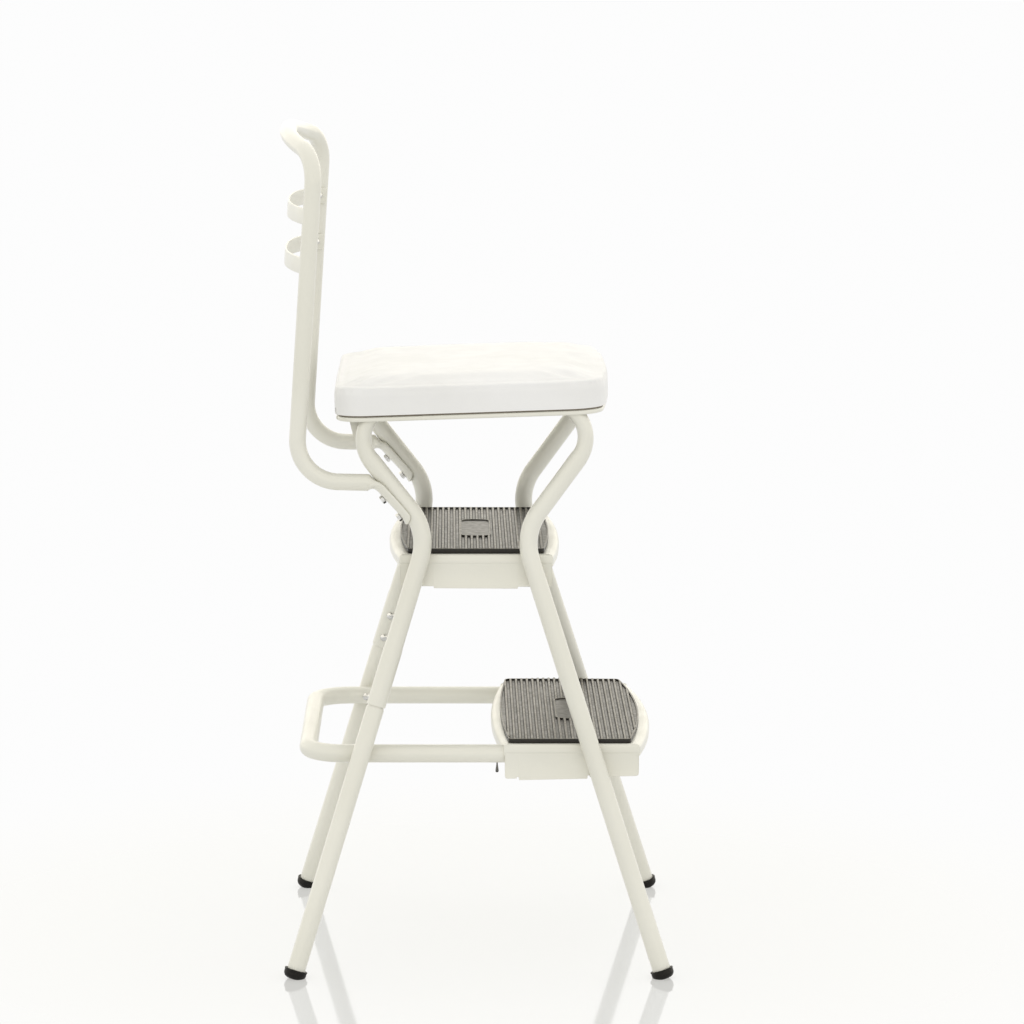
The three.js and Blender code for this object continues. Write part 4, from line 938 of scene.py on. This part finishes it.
def simulate(item, pinned, cap, shares):
    """Inflates the item's mesh as cloth; no point moves further than its share of the cap."""
    rest = [v.co.copy() for v in item.data.vertices]
    group = item.vertex_groups.new(name="held")
    group.add(pinned, 1.0, "REPLACE")
    cloth = item.modifiers.new("cover", "CLOTH")
    cloth.settings.vertex_group_mass = "held"
    cloth.settings.use_pressure = True
    cloth.settings.uniform_pressure_force = CLOTH_PRESSURE
    cloth.settings.effector_weights.gravity = 0
    cloth.point_cache.frame_start = 1
    cloth.point_cache.frame_end = CLOTH_FRAMES
    scene = bpy.context.scene
    for number in range(1, CLOTH_FRAMES + 1):
        scene.frame_set(number)
    mesh = evaluated(item)
    scene.frame_set(1)
    for vertex, start, share in zip(mesh.vertices, rest, shares):
        move = vertex.co - start
        if move.length:
            vertex.co = start + move * (share * cap * math.tanh(move.length / cap) / move.length)
    return mesh


def nearest_edge(outline, x, y):
    """Distance in plan from a point to the outline, and the outward normal there."""
    best = (1e9, Vector((1, 0, 0)))
    for a, b in zip(outline, outline[1:] + outline[:1]):
        ax, ay, dx, dy = a["x"], a["y"], b["x"] - a["x"], b["y"] - a["y"]
        t = min(max(((x - ax) * dx + (y - ay) * dy) / (dx * dx + dy * dy), 0), 1)
        away = math.hypot(x - ax - t * dx, y - ay - t * dy)
        if away < best[0]:
            best = (away, Vector((a["nx"], a["ny"], 0)))
    return best


def hinge_slots(rise):
    """The room that the hinge plates need in the seat's back edge as it tips up."""
    plate_y = SIDE_HALF - TUBE_RADIUS - SEAT_GAP - PLATE_THICK / 2
    half = PLATE_THICK / 2 + SLOT_HALF
    boxes = []
    for _, side in SIDES:
        low = (-2 * (PAN_REAR_SETBACK + SLOT_PAST), side * plate_y - half, -RIM_DEPTH - SLOT_PAST)
        boxes.append(box_skin(low, (-PLATE_EYE / 2, side * plate_y + half, rise)))
    return join_parts(boxes)


def bell(distance, width):
    """1 at no distance, falling smoothly to nothing past the width."""
    return math.exp(-(distance / width) ** 2)


def swollen_block(outline, sparse):
    """The block remeshed evenly, swollen by the simulation and made finer."""
    block = scratch_object("cushion_block", cushion_start(outline))
    grid = block.modifiers.new("grid", "REMESH")
    grid.mode = "VOXEL"
    grid.voxel_size = CUSHION_VOXEL
    relax = block.modifiers.new("relax", "SMOOTH")
    relax.factor = 0.5
    relax.iterations = 2
    mesh = evaluated(block)
    # The solver works in metres, so the cover is scaled down for it and back again
    shares = [min(nearest_edge(sparse, v.co.x, v.co.y)[0] / FADE_IN, 1) for v in mesh.vertices]
    mesh.transform(Matrix.Scale(MM, 4))
    cover = place_object("cushion_cover", mesh)
    held = [v.index for v in mesh.vertices if v.co.z < (BAND_TOP - HELD_BELOW) * MM]
    mesh = simulate(cover, held, CUSHION_CAP * MM, shares)
    mesh.transform(Matrix.Scale(1 / MM, 4))
    cover = place_object("cushion_cover", mesh)
    finer = cover.modifiers.new("finer", "SUBSURF")
    finer.levels = 1
    return evaluated(cover)


def shape_cover(mesh, sparse):
    """Displaces the raised shoulder, the hollow under it, the seam and the soft pulls."""
    for vertex in mesh.vertices:
        rise = vertex.co.z - BAND_TOP
        if rise < -CREST_REACH:
            continue
        inset, normal = nearest_edge(sparse, vertex.co.x, vertex.co.y)
        if inset < CREST_DEPTH:
            crest = CREST_OUT * bell(rise - CREST_RISE, CREST_WIDTH)
            vertex.co += normal * (crest - CREST_IN * bell(rise + HOLLOW_DROP, HOLLOW_WIDTH))
        if rise >= -SEAM_REACH:
            pull = sum(depth * noise.noise(vertex.co * scale) for depth, scale in PULLS)
            vertex.co.z += pull - SEAM_DEPTH * bell(inset - SEAM_IN, SEAM_WIDTH)


def cut_cover(mesh, outline):
    """Cuts the recess for the pan, with a thin lip of the cover in the gap that takes the painted shade, and
    the room for the hinge plates.
    """
    pan_outline = seat_outline(0, PAN_FRONT_CORNER)
    lip = -SEAT_GAP - SHADE_STRIP_LIP
    recess = [
        ring_at(outline, -CUT_REACH, HEM - CUT_DROP), ring_at(outline, -CUT_REACH, HEM),
        ring_at(pan_outline, lip, HEM), ring_at(pan_outline, lip, HEM - SHADE_STRIP_DROP),
        ring_at(pan_outline, -SEAT_GAP, HEM - SHADE_STRIP_DROP), *shoulder_rings(pan_outline, -SEAT_GAP)[::-1],
    ]
    mesh = subtract(place_object("cushion_cover", mesh), scratch_object("cushion_recess", skin(recess)))
    slots = scratch_object("cushion_slots", hinge_slots(HEM_SLOT_RISE))
    return subtract(place_object("cushion_cover", mesh), slots)


def cushion_mesh():
    outline = seat_outline(CUSHION_SIDE, CUSHION_FRONT_CORNER)
    sparse = outline[::3]
    mesh = swollen_block(outline, sparse)
    shape_cover(mesh, sparse)
    mesh = cut_cover(mesh, outline)
    for vertex in mesh.vertices:
        if abs(vertex.co.z - HEM) < HEM_TOUCH:
            inset, normal = nearest_edge(outline, vertex.co.x, vertex.co.y)
            if inset < CUSHION_SIDE / 2:
                vertex.co -= normal * HEM_ROUND
    # The underside of the cover and a thin strip in the gap above the rim take the dark second material; in
    # the gap it is painted shade standing for the gap's shadow
    for polygon in mesh.polygons:
        middle = polygon.center
        inner = middle.z < PAN_TOP + SHADE_STRIP_OVER and polygon.normal.z < SHADE_STRIP_FACING
        inset = nearest_edge(outline, middle.x, middle.y)[0] if inner else 0
        if middle.z < HEM - HEM_TOUCH or inset > CUSHION_SIDE - SHADE_STRIP_EDGE:
            polygon.material_index = 1
    mesh.transform(SEAT_PLACE)
    return to_metres(mesh)


def pan_mesh():
    """The pan with the slots that clear the hinge plates."""
    pan = scratch_object("pan_block", pan_skin())
    return to_metres(subtract(pan, scratch_object("pan_slots", in_seat(hinge_slots(SLOT_RISE)))))


# Fasteners: the place of each comes from its CAD node, the axis from the leg or rail that it enters
AXIS = 0.001
SHANK = 1.9
HEX_RISE = 3.4
SCREW_LENGTH = 7
LONG_SCREW_LENGTH = 8
BOLT_LENGTH = 12
RIVET_LENGTH = 6


def head_point(node, axis):
    """Where the outer end of a fastener's head is: the lowest point of its node along the axis."""
    points = [v.co / MM - SHIFT for v in frame["nodes"][node].data.vertices]
    low = min(p.dot(axis) for p in points)
    centre = (Vector(map(min, zip(*points))) + Vector(map(max, zip(*points)))) / 2
    return centre + axis * (low - centre.dot(axis))


def dome(across, along, steps, inner=0):
    """The rounded end of a turned profile, from its full radius inwards."""
    return [(max(inner + across * math.cos(a), AXIS), along * (1 - math.sin(a))) for a in quarter(steps)[1:]]


def pan_head_screw(top, axis, length):
    """Domed screw head with a cross recess, and its shank."""
    radius, rise = 4, 2.4
    profile = [(AXIS, length), (SHANK - 0.5, length), (SHANK, length - 0.8), (SHANK, rise),
               (radius - 0.3, rise), (radius, rise - 0.35)]
    profile += dome(radius, rise - 0.4, 10)[:-1] + [(0.9, 0), (0.55, 0.9), (AXIS, 1.1)]
    parts = [revolve(profile, top, axis)]
    turn = Vector((0, 0, 1)).rotation_difference(axis)
    arm = ((-0.25, -0.2), (-0.2, 0.12), (0.2, 0.12), (0.25, -0.2))
    for quarter_turn in range(4):
        angle = math.pi / 4 + math.pi / 2 * quarter_turn
        along = turn @ Vector((math.cos(angle), math.sin(angle), 0))
        across = turn @ Vector((-math.sin(angle), math.cos(angle), 0))
        ridge = []
        for reach, lift in ((0.8, 0.05), (1.5, 0.0), (2.3, 0.25)):
            centre = top + along * reach + axis * lift
            ridge.append([centre + across * w - axis * h for w, h in arm])
        parts.append(skin(ridge))
    return join_parts(parts)


def hex_head_screw(top, axis, length):
    """Hexagon head with a rounded chamfer, and its shank."""
    radius, sides = 4.6, 48
    flat = math.cos(math.pi / 6)
    turn = Vector((0, 0, 1)).rotation_difference(axis)
    rings = []
    for limit, lift in ((1, HEX_RISE), (1, 0.75), (0.985, 0.5), (0.94, 0.25), (0.87, 0.06), (0.8, 0)):
        ring = []
        for k in range(sides):
            angle = 2 * math.pi * k / sides
            facet = abs(angle % (math.pi / 3) - math.pi / 6)
            reach = radius * min(flat / math.cos(facet), limit)
            ring.append(top + turn @ Vector((reach * math.cos(angle), reach * math.sin(angle), lift)))
        rings.append(ring)
    under = HEX_RISE - 0.2
    bar = revolve([(AXIS, length), (SHANK, length), (SHANK, under), (AXIS, under)], top, axis)
    return join_parts([bar, skin(rings)])


def rivet_skin(top, axis, length):
    """Low domed rivet head and its shank."""
    radius, rise = 3.4, 1.5
    profile = [(AXIS, length), (SHANK, length), (SHANK, rise), (radius - 0.15, rise), (radius, rise - 0.2)]
    return revolve(profile + dome(radius, rise - 0.2, 8), top, axis)


def pin_skin(top, axis, length):
    """Hinge pin: flat head with a rounded rim, and a peened tail."""
    radius, head, rise, rim = 3, 5, 2, 0.6
    profile = [(AXIS, length), (radius - 0.6, length), (radius - 0.15, length - 0.25), (radius, length - 0.7),
               (radius, rise), (head - 0.2, rise), (head, rise - 0.3), (head, rim)]
    profile += dome(rim, rim, 4, head - rim) + [(1.6, 0), (1.2, 0.35), (AXIS, 0.45)]
    return revolve(profile, top, axis)


def rail_pin_skin(top, axis, length):
    """Pin that hangs from a rail: its head inside the bore, a slim neck and a drop-shaped tip."""
    neck, tip, head, rise = 0.8, 1.7, 3.4, 1.5
    profile = [(AXIS, length)]
    for share, back in ((0.45, 0.12), (0.8, 0.5), (1, 1.4), (1, 2.2), (0.86, 4.2), (0.66, 6.4)):
        profile.append((tip * share, length - back))
    profile += [(neck, length - 8.6), (neck, rise), (head, rise), (head, 0.3), (head - 0.3, 0), (AXIS, 0)]
    return revolve(profile, top, axis)


# Foot caps: a cup with a ragged moulded lip, round underneath and flat where it stands
CAP_RADIUS = 11.8
CAP_LIP = 3
CAP_FLOOR = 7.2
CAP_ROUND = 6
CAP_BEAD = 0.35
CAP_RAGGED = 0.35


def cap_skin(end, side):
    """One foot cap, its underside cut flat where it meets the floor."""
    seat, axis = leg_point(end, side, TUBE_END), leg_direction(end, side)
    recess = TUBE_RADIUS + SEAT_GAP / 2
    straight = CAP_RADIUS - CAP_ROUND
    profile = [(AXIS, -CAP_FLOOR), (straight, -CAP_FLOOR)]
    for a in quarter(12)[1:]:
        profile.append((straight + CAP_ROUND * math.sin(a), -CAP_FLOOR + CAP_ROUND * (1 - math.cos(a))))
    for radius, below in ((CAP_RADIUS, 1.6), (CAP_RADIUS + CAP_BEAD, 1.2), (CAP_RADIUS + CAP_BEAD, 0.4),
                          (CAP_RADIUS - 0.1, 0), (recess + 0.5, 0), (recess, 0.4)):
        profile.append((radius, CAP_LIP - below))
    profile += [(recess, 0), (AXIS, 0)]
    points, faces = revolve(profile, seat, axis, 48)
    settled = []
    for p in points:
        lip = (p - seat).dot(axis) > CAP_LIP - 1.3
        moved = p + axis * (CAP_RAGGED * noise.noise(p * 0.35) if lip else 0)
        settled.append(Vector((moved.x, moved.y, max(moved.z, 0.0))))
    return settled, faces


# Materials
NOISE_LOW = 0.35
NOISE_HIGH = 0.65


def linear(red, green, blue):
    """Colour given as the eye reads it, 0 to 255, turned into the shader's linear values."""
    def one(value):
        share = value / 255
        return share / 12.92 if share <= 0.04045 else ((share + 0.055) / 1.055) ** 2.4
    return one(red), one(green), one(blue), 1.0


def feed(tree, node, **inputs):
    """Sets a node's inputs; one that is given another node's output is linked to it."""
    for name, value in inputs.items():
        socket = node.inputs[name.replace("_", " ")]
        if isinstance(value, bpy.types.NodeSocket):
            tree.links.new(value, socket)
        else:
            socket.default_value = value
    return node


def mix(tree, share, first, second, kind="RGBA"):
    node = tree.nodes.new("ShaderNodeMix")
    node.data_type = kind
    return feed(tree, node, Factor=share, A=first, B=second).outputs["Result"]


def mix_shaders(tree, share, first, second):
    node = feed(tree, tree.nodes.new("ShaderNodeMixShader"), Fac=share)
    tree.links.new(first, node.inputs[1])
    tree.links.new(second, node.inputs[2])
    return node.outputs["Shader"]


def map_range(tree, source, start, stop, low, high, blend="LINEAR"):
    node = tree.nodes.new("ShaderNodeMapRange")
    node.interpolation_type = blend
    feed(tree, node, Value=source, From_Min=start, From_Max=stop, To_Min=low, To_Max=high)
    return node.outputs["Result"]


class Finish:
    """A procedural material on a Principled shader."""

    def __init__(self, name, **sockets):
        self.material = bpy.data.materials.new(name)
        self.material.use_nodes = True
        self.tree = self.material.node_tree
        self.shader = feed(self.tree, self.tree.nodes["Principled BSDF"], **sockets)
        self.place = self.tree.nodes.new("ShaderNodeTexCoord").outputs["Object"]
        self.normal = None

    def node(self, kind, **inputs):
        return feed(self.tree, self.tree.nodes.new(kind), **inputs)

    def noise(self, scale, detail=2.0, stretch=(1, 1, 1)):
        place = self.node("ShaderNodeMapping", Vector=self.place, Scale=stretch).outputs["Vector"]
        return self.node("ShaderNodeTexNoise", Vector=place, Scale=scale, Detail=detail).outputs["Fac"]

    def cells(self, scale):
        node = self.tree.nodes.new("ShaderNodeTexVoronoi")
        node.feature = "SMOOTH_F1"
        return feed(self.tree, node, Vector=self.place, Scale=scale).outputs["Distance"]

    def spread(self, source, low, high):
        return map_range(self.tree, source, NOISE_LOW, NOISE_HIGH, low, high)

    def colour(self, source, first, second):
        feed(self.tree, self.shader, Base_Color=mix(self.tree, self.spread(source, 0, 1), first, second))

    def roughness(self, source, low, high):
        feed(self.tree, self.shader, Roughness=self.spread(source, low, high))

    def bump(self, source, depth, strength):
        node = self.node("ShaderNodeBump", Height=source, Distance=depth, Strength=strength)
        if self.normal:
            feed(self.tree, node, Normal=self.normal)
        self.normal = node.outputs["Normal"]
        feed(self.tree, self.shader, Normal=self.normal)


def enamel_finish():
    """Cream powder coat: faint drift of colour, orange peel and a satin gloss."""
    finish = Finish("enamel", Coat_Weight=0.25, Coat_Roughness=0.12, IOR=1.5)
    finish.colour(finish.noise(7), linear(216, 214, 201), linear(221, 219, 207))
    finish.roughness(finish.noise(30), 0.30, 0.40)
    finish.bump(finish.noise(650, 2), 0.00006, 0.6)
    finish.bump(finish.noise(90, 1), 0.00025, 0.35)
    return finish.material


def vinyl_finish():
    """White vinyl: a fine leather grain over soft pulls in the cover."""
    finish = Finish("vinyl", Sheen_Weight=0.08, IOR=1.48)
    finish.colour(finish.noise(11, 4), linear(223, 222, 218), linear(228, 227, 224))
    finish.roughness(finish.noise(60, 3), 0.42, 0.55)
    finish.bump(finish.cells(950), 0.00009, 0.7)
    finish.bump(finish.noise(160, 3), 0.0002, 0.4)
    return finish.material


def rubber_finish(name, dark, pale, low, high, gloss=0.32):
    """Moulded rubber: matte patches, fine grain and a little dust."""
    finish = Finish(name, IOR=1.5, Specular_IOR_Level=gloss)
    finish.colour(finish.noise(240, 5), dark, pale)
    finish.roughness(finish.noise(140, 3), low, high)
    finish.bump(finish.noise(1400, 2), 0.00004, 0.5)
    return finish.material


def metal_finish(name, first, second, low, high):
    """Plated steel: fine streaks and cloudy gloss."""
    finish = Finish(name, Metallic=1.0)
    finish.colour(finish.noise(300, 3), first, second)
    finish.roughness(finish.noise(500, 3, (1, 1, 6)), low, high)
    finish.bump(finish.noise(1800, 2, (1, 1, 8)), 0.00003, 0.6)
    return finish.material


def background_share(tree):
    """1 for camera, glossy and transmission rays, which see the plain white background."""
    path = tree.nodes.new("ShaderNodeLightPath").outputs
    total = path["Is Camera Ray"]
    for output in ("Is Glossy Ray", "Is Transmission Ray"):
        larger = tree.nodes.new("ShaderNodeMath")
        larger.operation = "MAXIMUM"
        tree.links.new(total, larger.inputs[0])
        tree.links.new(path[output], larger.inputs[1])
        total = larger.outputs["Value"]
    return total


FLOOR_COLOUR = (0.9, 0.9, 0.89, 1)
FLOOR_SEEN = 0.78
FLOOR_SHADED_TO = 0.34
FLOOR_GLOW_FROM = 0.75
FLOOR_NEAR = (0.80, 0.793, 0.752, 1)
FLOOR_FAR = (0.80, 0.80, 0.80, 1)
FLOOR_MIRROR = (0.8, 0.833, 0.93, 1)
FLOOR_WARM_TO = 0.4
FLOOR_WHITE_FROM = 0.95
FLOOR_SHINE = 0.3
FLOOR_ROUGHNESS = 0.06


def floor_finish():
    """Glossy white studio floor: white to the camera away from the chair, shaded and mirroring near it."""
    material = bpy.data.materials.new("studio_floor")
    material.use_nodes = True
    tree = material.node_tree
    tree.nodes.clear()
    place = tree.nodes.new("ShaderNodeTexCoord").outputs["Object"]
    distance = tree.nodes.new("ShaderNodeVectorMath")
    distance.operation = "LENGTH"
    tree.links.new(place, distance.inputs[0])

    def ramp(start, stop, low):
        return map_range(tree, distance.outputs["Value"], start, stop, low, 1.0, "SMOOTHSTEP")

    def shader(kind, output, **inputs):
        return feed(tree, tree.nodes.new(kind), **inputs).outputs[output]

    diffuse = shader("ShaderNodeBsdfDiffuse", "BSDF", Color=FLOOR_COLOUR)
    tint = mix(tree, ramp(FLOOR_WARM_TO, FLOOR_WHITE_FROM, 0), FLOOR_NEAR, FLOOR_FAR)
    glow = shader("ShaderNodeEmission", "Emission", Color=tint)
    gloss = shader("ShaderNodeBsdfAnisotropic", "BSDF", Color=FLOOR_MIRROR, Roughness=FLOOR_ROUGHNESS)
    shine = mix_shaders(tree, FLOOR_SHINE, glow, gloss)
    seen = mix_shaders(tree, ramp(FLOOR_SHADED_TO, FLOOR_GLOW_FROM, FLOOR_SEEN), diffuse, shine)
    split = mix_shaders(tree, background_share(tree), diffuse, seen)
    feed(tree, tree.nodes.new("ShaderNodeOutputMaterial"), Surface=split)
    return material


ENAMEL = enamel_finish()
VINYL = vinyl_finish()
MAT_RUBBER = rubber_finish("mat_rubber", linear(22, 20, 15), linear(34, 31, 24), 0.30, 0.40)
# Paler rubber for the mats' up-facing tops: painted sheen
PAINTED_SHEEN_RUBBER = rubber_finish("painted_sheen_rubber", linear(64, 59, 47), linear(86, 80, 65), 0.28, 0.38)
CAP_RUBBER = rubber_finish("cap_rubber", linear(13, 12, 9), linear(22, 20, 16), 0.4, 0.5, 0.2)
# Dark tone for the strip in the gap between cover and rim: painted shade
PAINTED_GAP_SHADE = rubber_finish("painted_gap_shade", linear(110, 102, 88), linear(124, 115, 100), 0.7, 0.85)
ZINC = metal_finish("zinc", (0.55, 0.55, 0.54, 1), (0.70, 0.70, 0.69, 1), 0.22, 0.38)
DARK_STEEL = metal_finish("dark_steel", (0.10, 0.10, 0.095, 1), (0.16, 0.155, 0.15, 1), 0.35, 0.5)


# Pieces that ride on the frame
def add(name, part, material, slot, *stands_for, sharp=40):
    """A piece that rides on the frame, from points in millimetres and faces."""
    points, faces = part
    mesh = new_mesh(name, [(Vector(p) + SHIFT) * MM for p in points], faces)
    return dress(name, mesh, material, "frame", stands_for, sharp)


for name, side in SIDES:
    add(f"frame_tube_{name}", open_tube(side_stations(side)), ENAMEL, "enamel", f"side_tube_{name}")
    add(f"lower_leg_{name}", open_tube(lower_leg_stations(side)), ENAMEL, "enamel", f"rear_leg_{name}")
    for end in ("front", "rear"):
        cap = f"foot_cap_{end}_{name}"
        add(f"rubber_foot_{end}_{name}", cap_skin(end, side), CAP_RUBBER, "rubber", cap)
add("back_tube", open_tube(hoop_stations(), TAB_BORE), ENAMEL, "enamel", "back_hoop")
for level, z in SLAT_LEVELS.items():
    add(f"back_slat_{level}", slat_skin(z), ENAMEL, "enamel", f"slat_{level}")
for label, step in (("upper", UPPER), ("lower", LOWER)):
    add(f"{label}_tray", tray_skin(step), ENAMEL, "enamel", f"{label}_step_tray", sharp=50)
    mat = add(f"{label}_mat", mat_skin(step), MAT_RUBBER, "rubber", f"{label}_step_mat", sharp=50)
    # The up-facing tops get painted sheen
    paint_sheen_tops(mat, PAINTED_SHEEN_RUBBER, step["mat_top"])
add("brace_tube", open_tube(brace_stations()), ENAMEL, "enamel", "lower_u_brace")

# Pieces that ride on the seat
dress("pan_shell", pan_mesh(), ENAMEL, "seat", ("seat_pan",), sharp=50)
cushion = dress("cushion_cover", cushion_mesh(), VINYL, "seat", ("seat_cushion",), sharp=60)
# Second slot: the dark strip in the gap, painted shade for the gap's shadow
cushion.data.materials.append(PAINTED_GAP_SHADE)

# Fasteners
FASTENERS = []
for name, side in SIDES:
    outward = Vector((0, side, 0))
    legs = {end: leg_outward(end, side) for end in ("front", "rear")}
    for end, axis in legs.items():
        FASTENERS.append((f"upper_step_screw_{end}_{name}", axis, pan_head_screw, SCREW_LENGTH))
    for i in (1, 2):
        FASTENERS.append((f"socket_screw_{i}_{name}", legs["rear"], pan_head_screw, SCREW_LENGTH))
        FASTENERS.append((f"back_screw_{i}_{name}", -DIAGONAL_BACK, hex_head_screw, BOLT_LENGTH))
        FASTENERS.append((f"cross_screw_{i}_{name}", outward, pan_head_screw, SCREW_LENGTH))
    for label in ("strap_screw", "brace_screw", "lower_step_screw"):
        FASTENERS.append((f"{label}_{name}", outward, pan_head_screw, LONG_SCREW_LENGTH))
    for level in SLAT_LEVELS:
        FASTENERS.append((f"slat_rivet_{level}_{name}", outward, rivet_skin, RIVET_LENGTH))
for node, axis, shape, length in FASTENERS:
    top = head_point(node, axis)
    if shape is hex_head_screw:
        along = (top - TAB_CORNER).dot(TAB_DOWN)
        seat = TUBE_RADIUS + SEAT_GAP + tab_thick(along) + HEX_RISE + SEAT_GAP / 2
        top = top + axis * ((top - REAR_WAIST).dot(DIAGONAL_BACK) - seat)
    if shape is rivet_skin:
        top = top - Vector((RIVET_BACK, 0, 0))
    add(f"{node}_detail", shape(top, axis, length), ZINC, "zinc", node, sharp=35)
for name, side in SIDES:
    for label, axis, shape, material, slot in (
        ("hinge_pin", Vector((0, side, 0)), pin_skin, ZINC, "zinc"),
        ("rail_pin", Vector((0, 0, -1)), rail_pin_skin, DARK_STEEL, "dark_steel"),
    ):
        node = f"{label}_{name}"
        points = [v.co / MM for v in frame["nodes"][node].data.vertices]
        length = max(p.dot(axis) for p in points) - min(p.dot(axis) for p in points)
        add(f"{node}_detail", shape(head_point(node, axis), axis, length), material, slot, node, sharp=35)

# CAD nodes that stay: softened edges and the same finishes
KEPT_EDGE = 0.4
KEPT = {"rear_cross_member": ENAMEL, "front_cross_strap": ENAMEL}
for name, _ in SIDES:
    KEPT[f"seat_hinge_ear_{name}"] = ENAMEL
    KEPT[f"seat_bumper_{name}"] = CAP_RUBBER
for node, material in KEPT.items():
    item = frame["nodes"][node]
    item.data.materials.clear()
    item.data.materials.append(material)
    edges = item.modifiers.new("edges", "BEVEL")
    edges.width = KEPT_EDGE * MM
    edges.segments = 2
    edges.limit_method = "ANGLE"
    edges.harden_normals = False

# Camera at the photograph's angle: 1024 pixels square, focal length in pixels
PICTURE = 1024
FOCAL = 4700
SENSOR = 36
PITCH = math.radians(8.137)
YAW = math.radians(0.769)
ROLL = 0.002648
EYE = Vector((-32.5, -5005.9, 1176.3))


def add_camera():
    data = bpy.data.cameras.new("camera")
    data.sensor_width = SENSOR
    data.lens = SENSOR * FOCAL / PICTURE
    data.clip_end = 100
    forward = Vector((math.sin(YAW) * math.cos(PITCH), math.cos(YAW) * math.cos(PITCH), -math.sin(PITCH)))
    right = Vector((math.cos(YAW), -math.sin(YAW), 0))
    down = forward.cross(right)
    turned_right = (right - down * ROLL).normalized()
    up = (-forward).cross(turned_right)
    camera = place_object("camera", data)
    camera.matrix_world = Matrix((
        (turned_right.x, up.x, -forward.x, (EYE.x + SHIFT.x) * MM),
        (turned_right.y, up.y, -forward.y, EYE.y * MM),
        (turned_right.z, up.z, -forward.z, EYE.z * MM),
        (0, 0, 0, 1),
    ))
    bpy.context.scene.camera = camera


def add_lamp(name, place, aim, size, power):
    """A square lamp that lights the chair but isn't mirrored in it."""
    data = bpy.data.lights.new(name, "AREA")
    data.shape = "RECTANGLE"
    data.size, data.size_y = size
    data.energy = power
    lamp = place_object(name, data)
    lamp.location = place
    lamp.visible_glossy = False
    lamp.rotation_mode = "QUATERNION"
    lamp.rotation_quaternion = (Vector(aim) - Vector(place)).to_track_quat("-Z", "Y")


def add_world(lighting, seen, mirrored, mirrored_colour):
    """A white surround: how strongly it lights, how bright the camera sees it and what gloss mirrors."""
    world = bpy.data.worlds.new("studio")
    world.use_nodes = True
    tree = world.node_tree
    path = tree.nodes.new("ShaderNodeLightPath").outputs
    level = mix(tree, path["Is Glossy Ray"], lighting, mirrored, "FLOAT")
    level = mix(tree, path["Is Camera Ray"], level, seen, "FLOAT")
    colour = mix(tree, path["Is Glossy Ray"], (1, 1, 1, 1), mirrored_colour)
    feed(tree, tree.nodes["Background"], Color=colour, Strength=level)
    bpy.context.scene.world = world


def add_floor():
    reach = 30
    corners = [(-reach, -reach, 0), (reach, -reach, 0), (reach, reach, 0), (-reach, reach, 0)]
    mesh = new_mesh("floor", corners, [(0, 1, 2, 3)])
    mesh.materials.append(floor_finish())
    floor = place_object("floor", mesh)


add_camera()
add_floor()
add_world(0.98, 1.0, 1.75, (1, 0.96, 0.86, 1))
add_lamp("key", (-1.7, -3.6, 1.9), (0, 0, 0.45), (2.2, 2.2), 10)
add_lamp("fill", (2.4, -3.2, 1.0), (0, 0, 0.45), (1.6, 1.4), 5)
add_lamp("top", (0.1, 0.9, 3.0), (0, 0, 0.5), (2.4, 1.6), 8)

bpy.context.scene.view_settings.view_transform = "Standard"
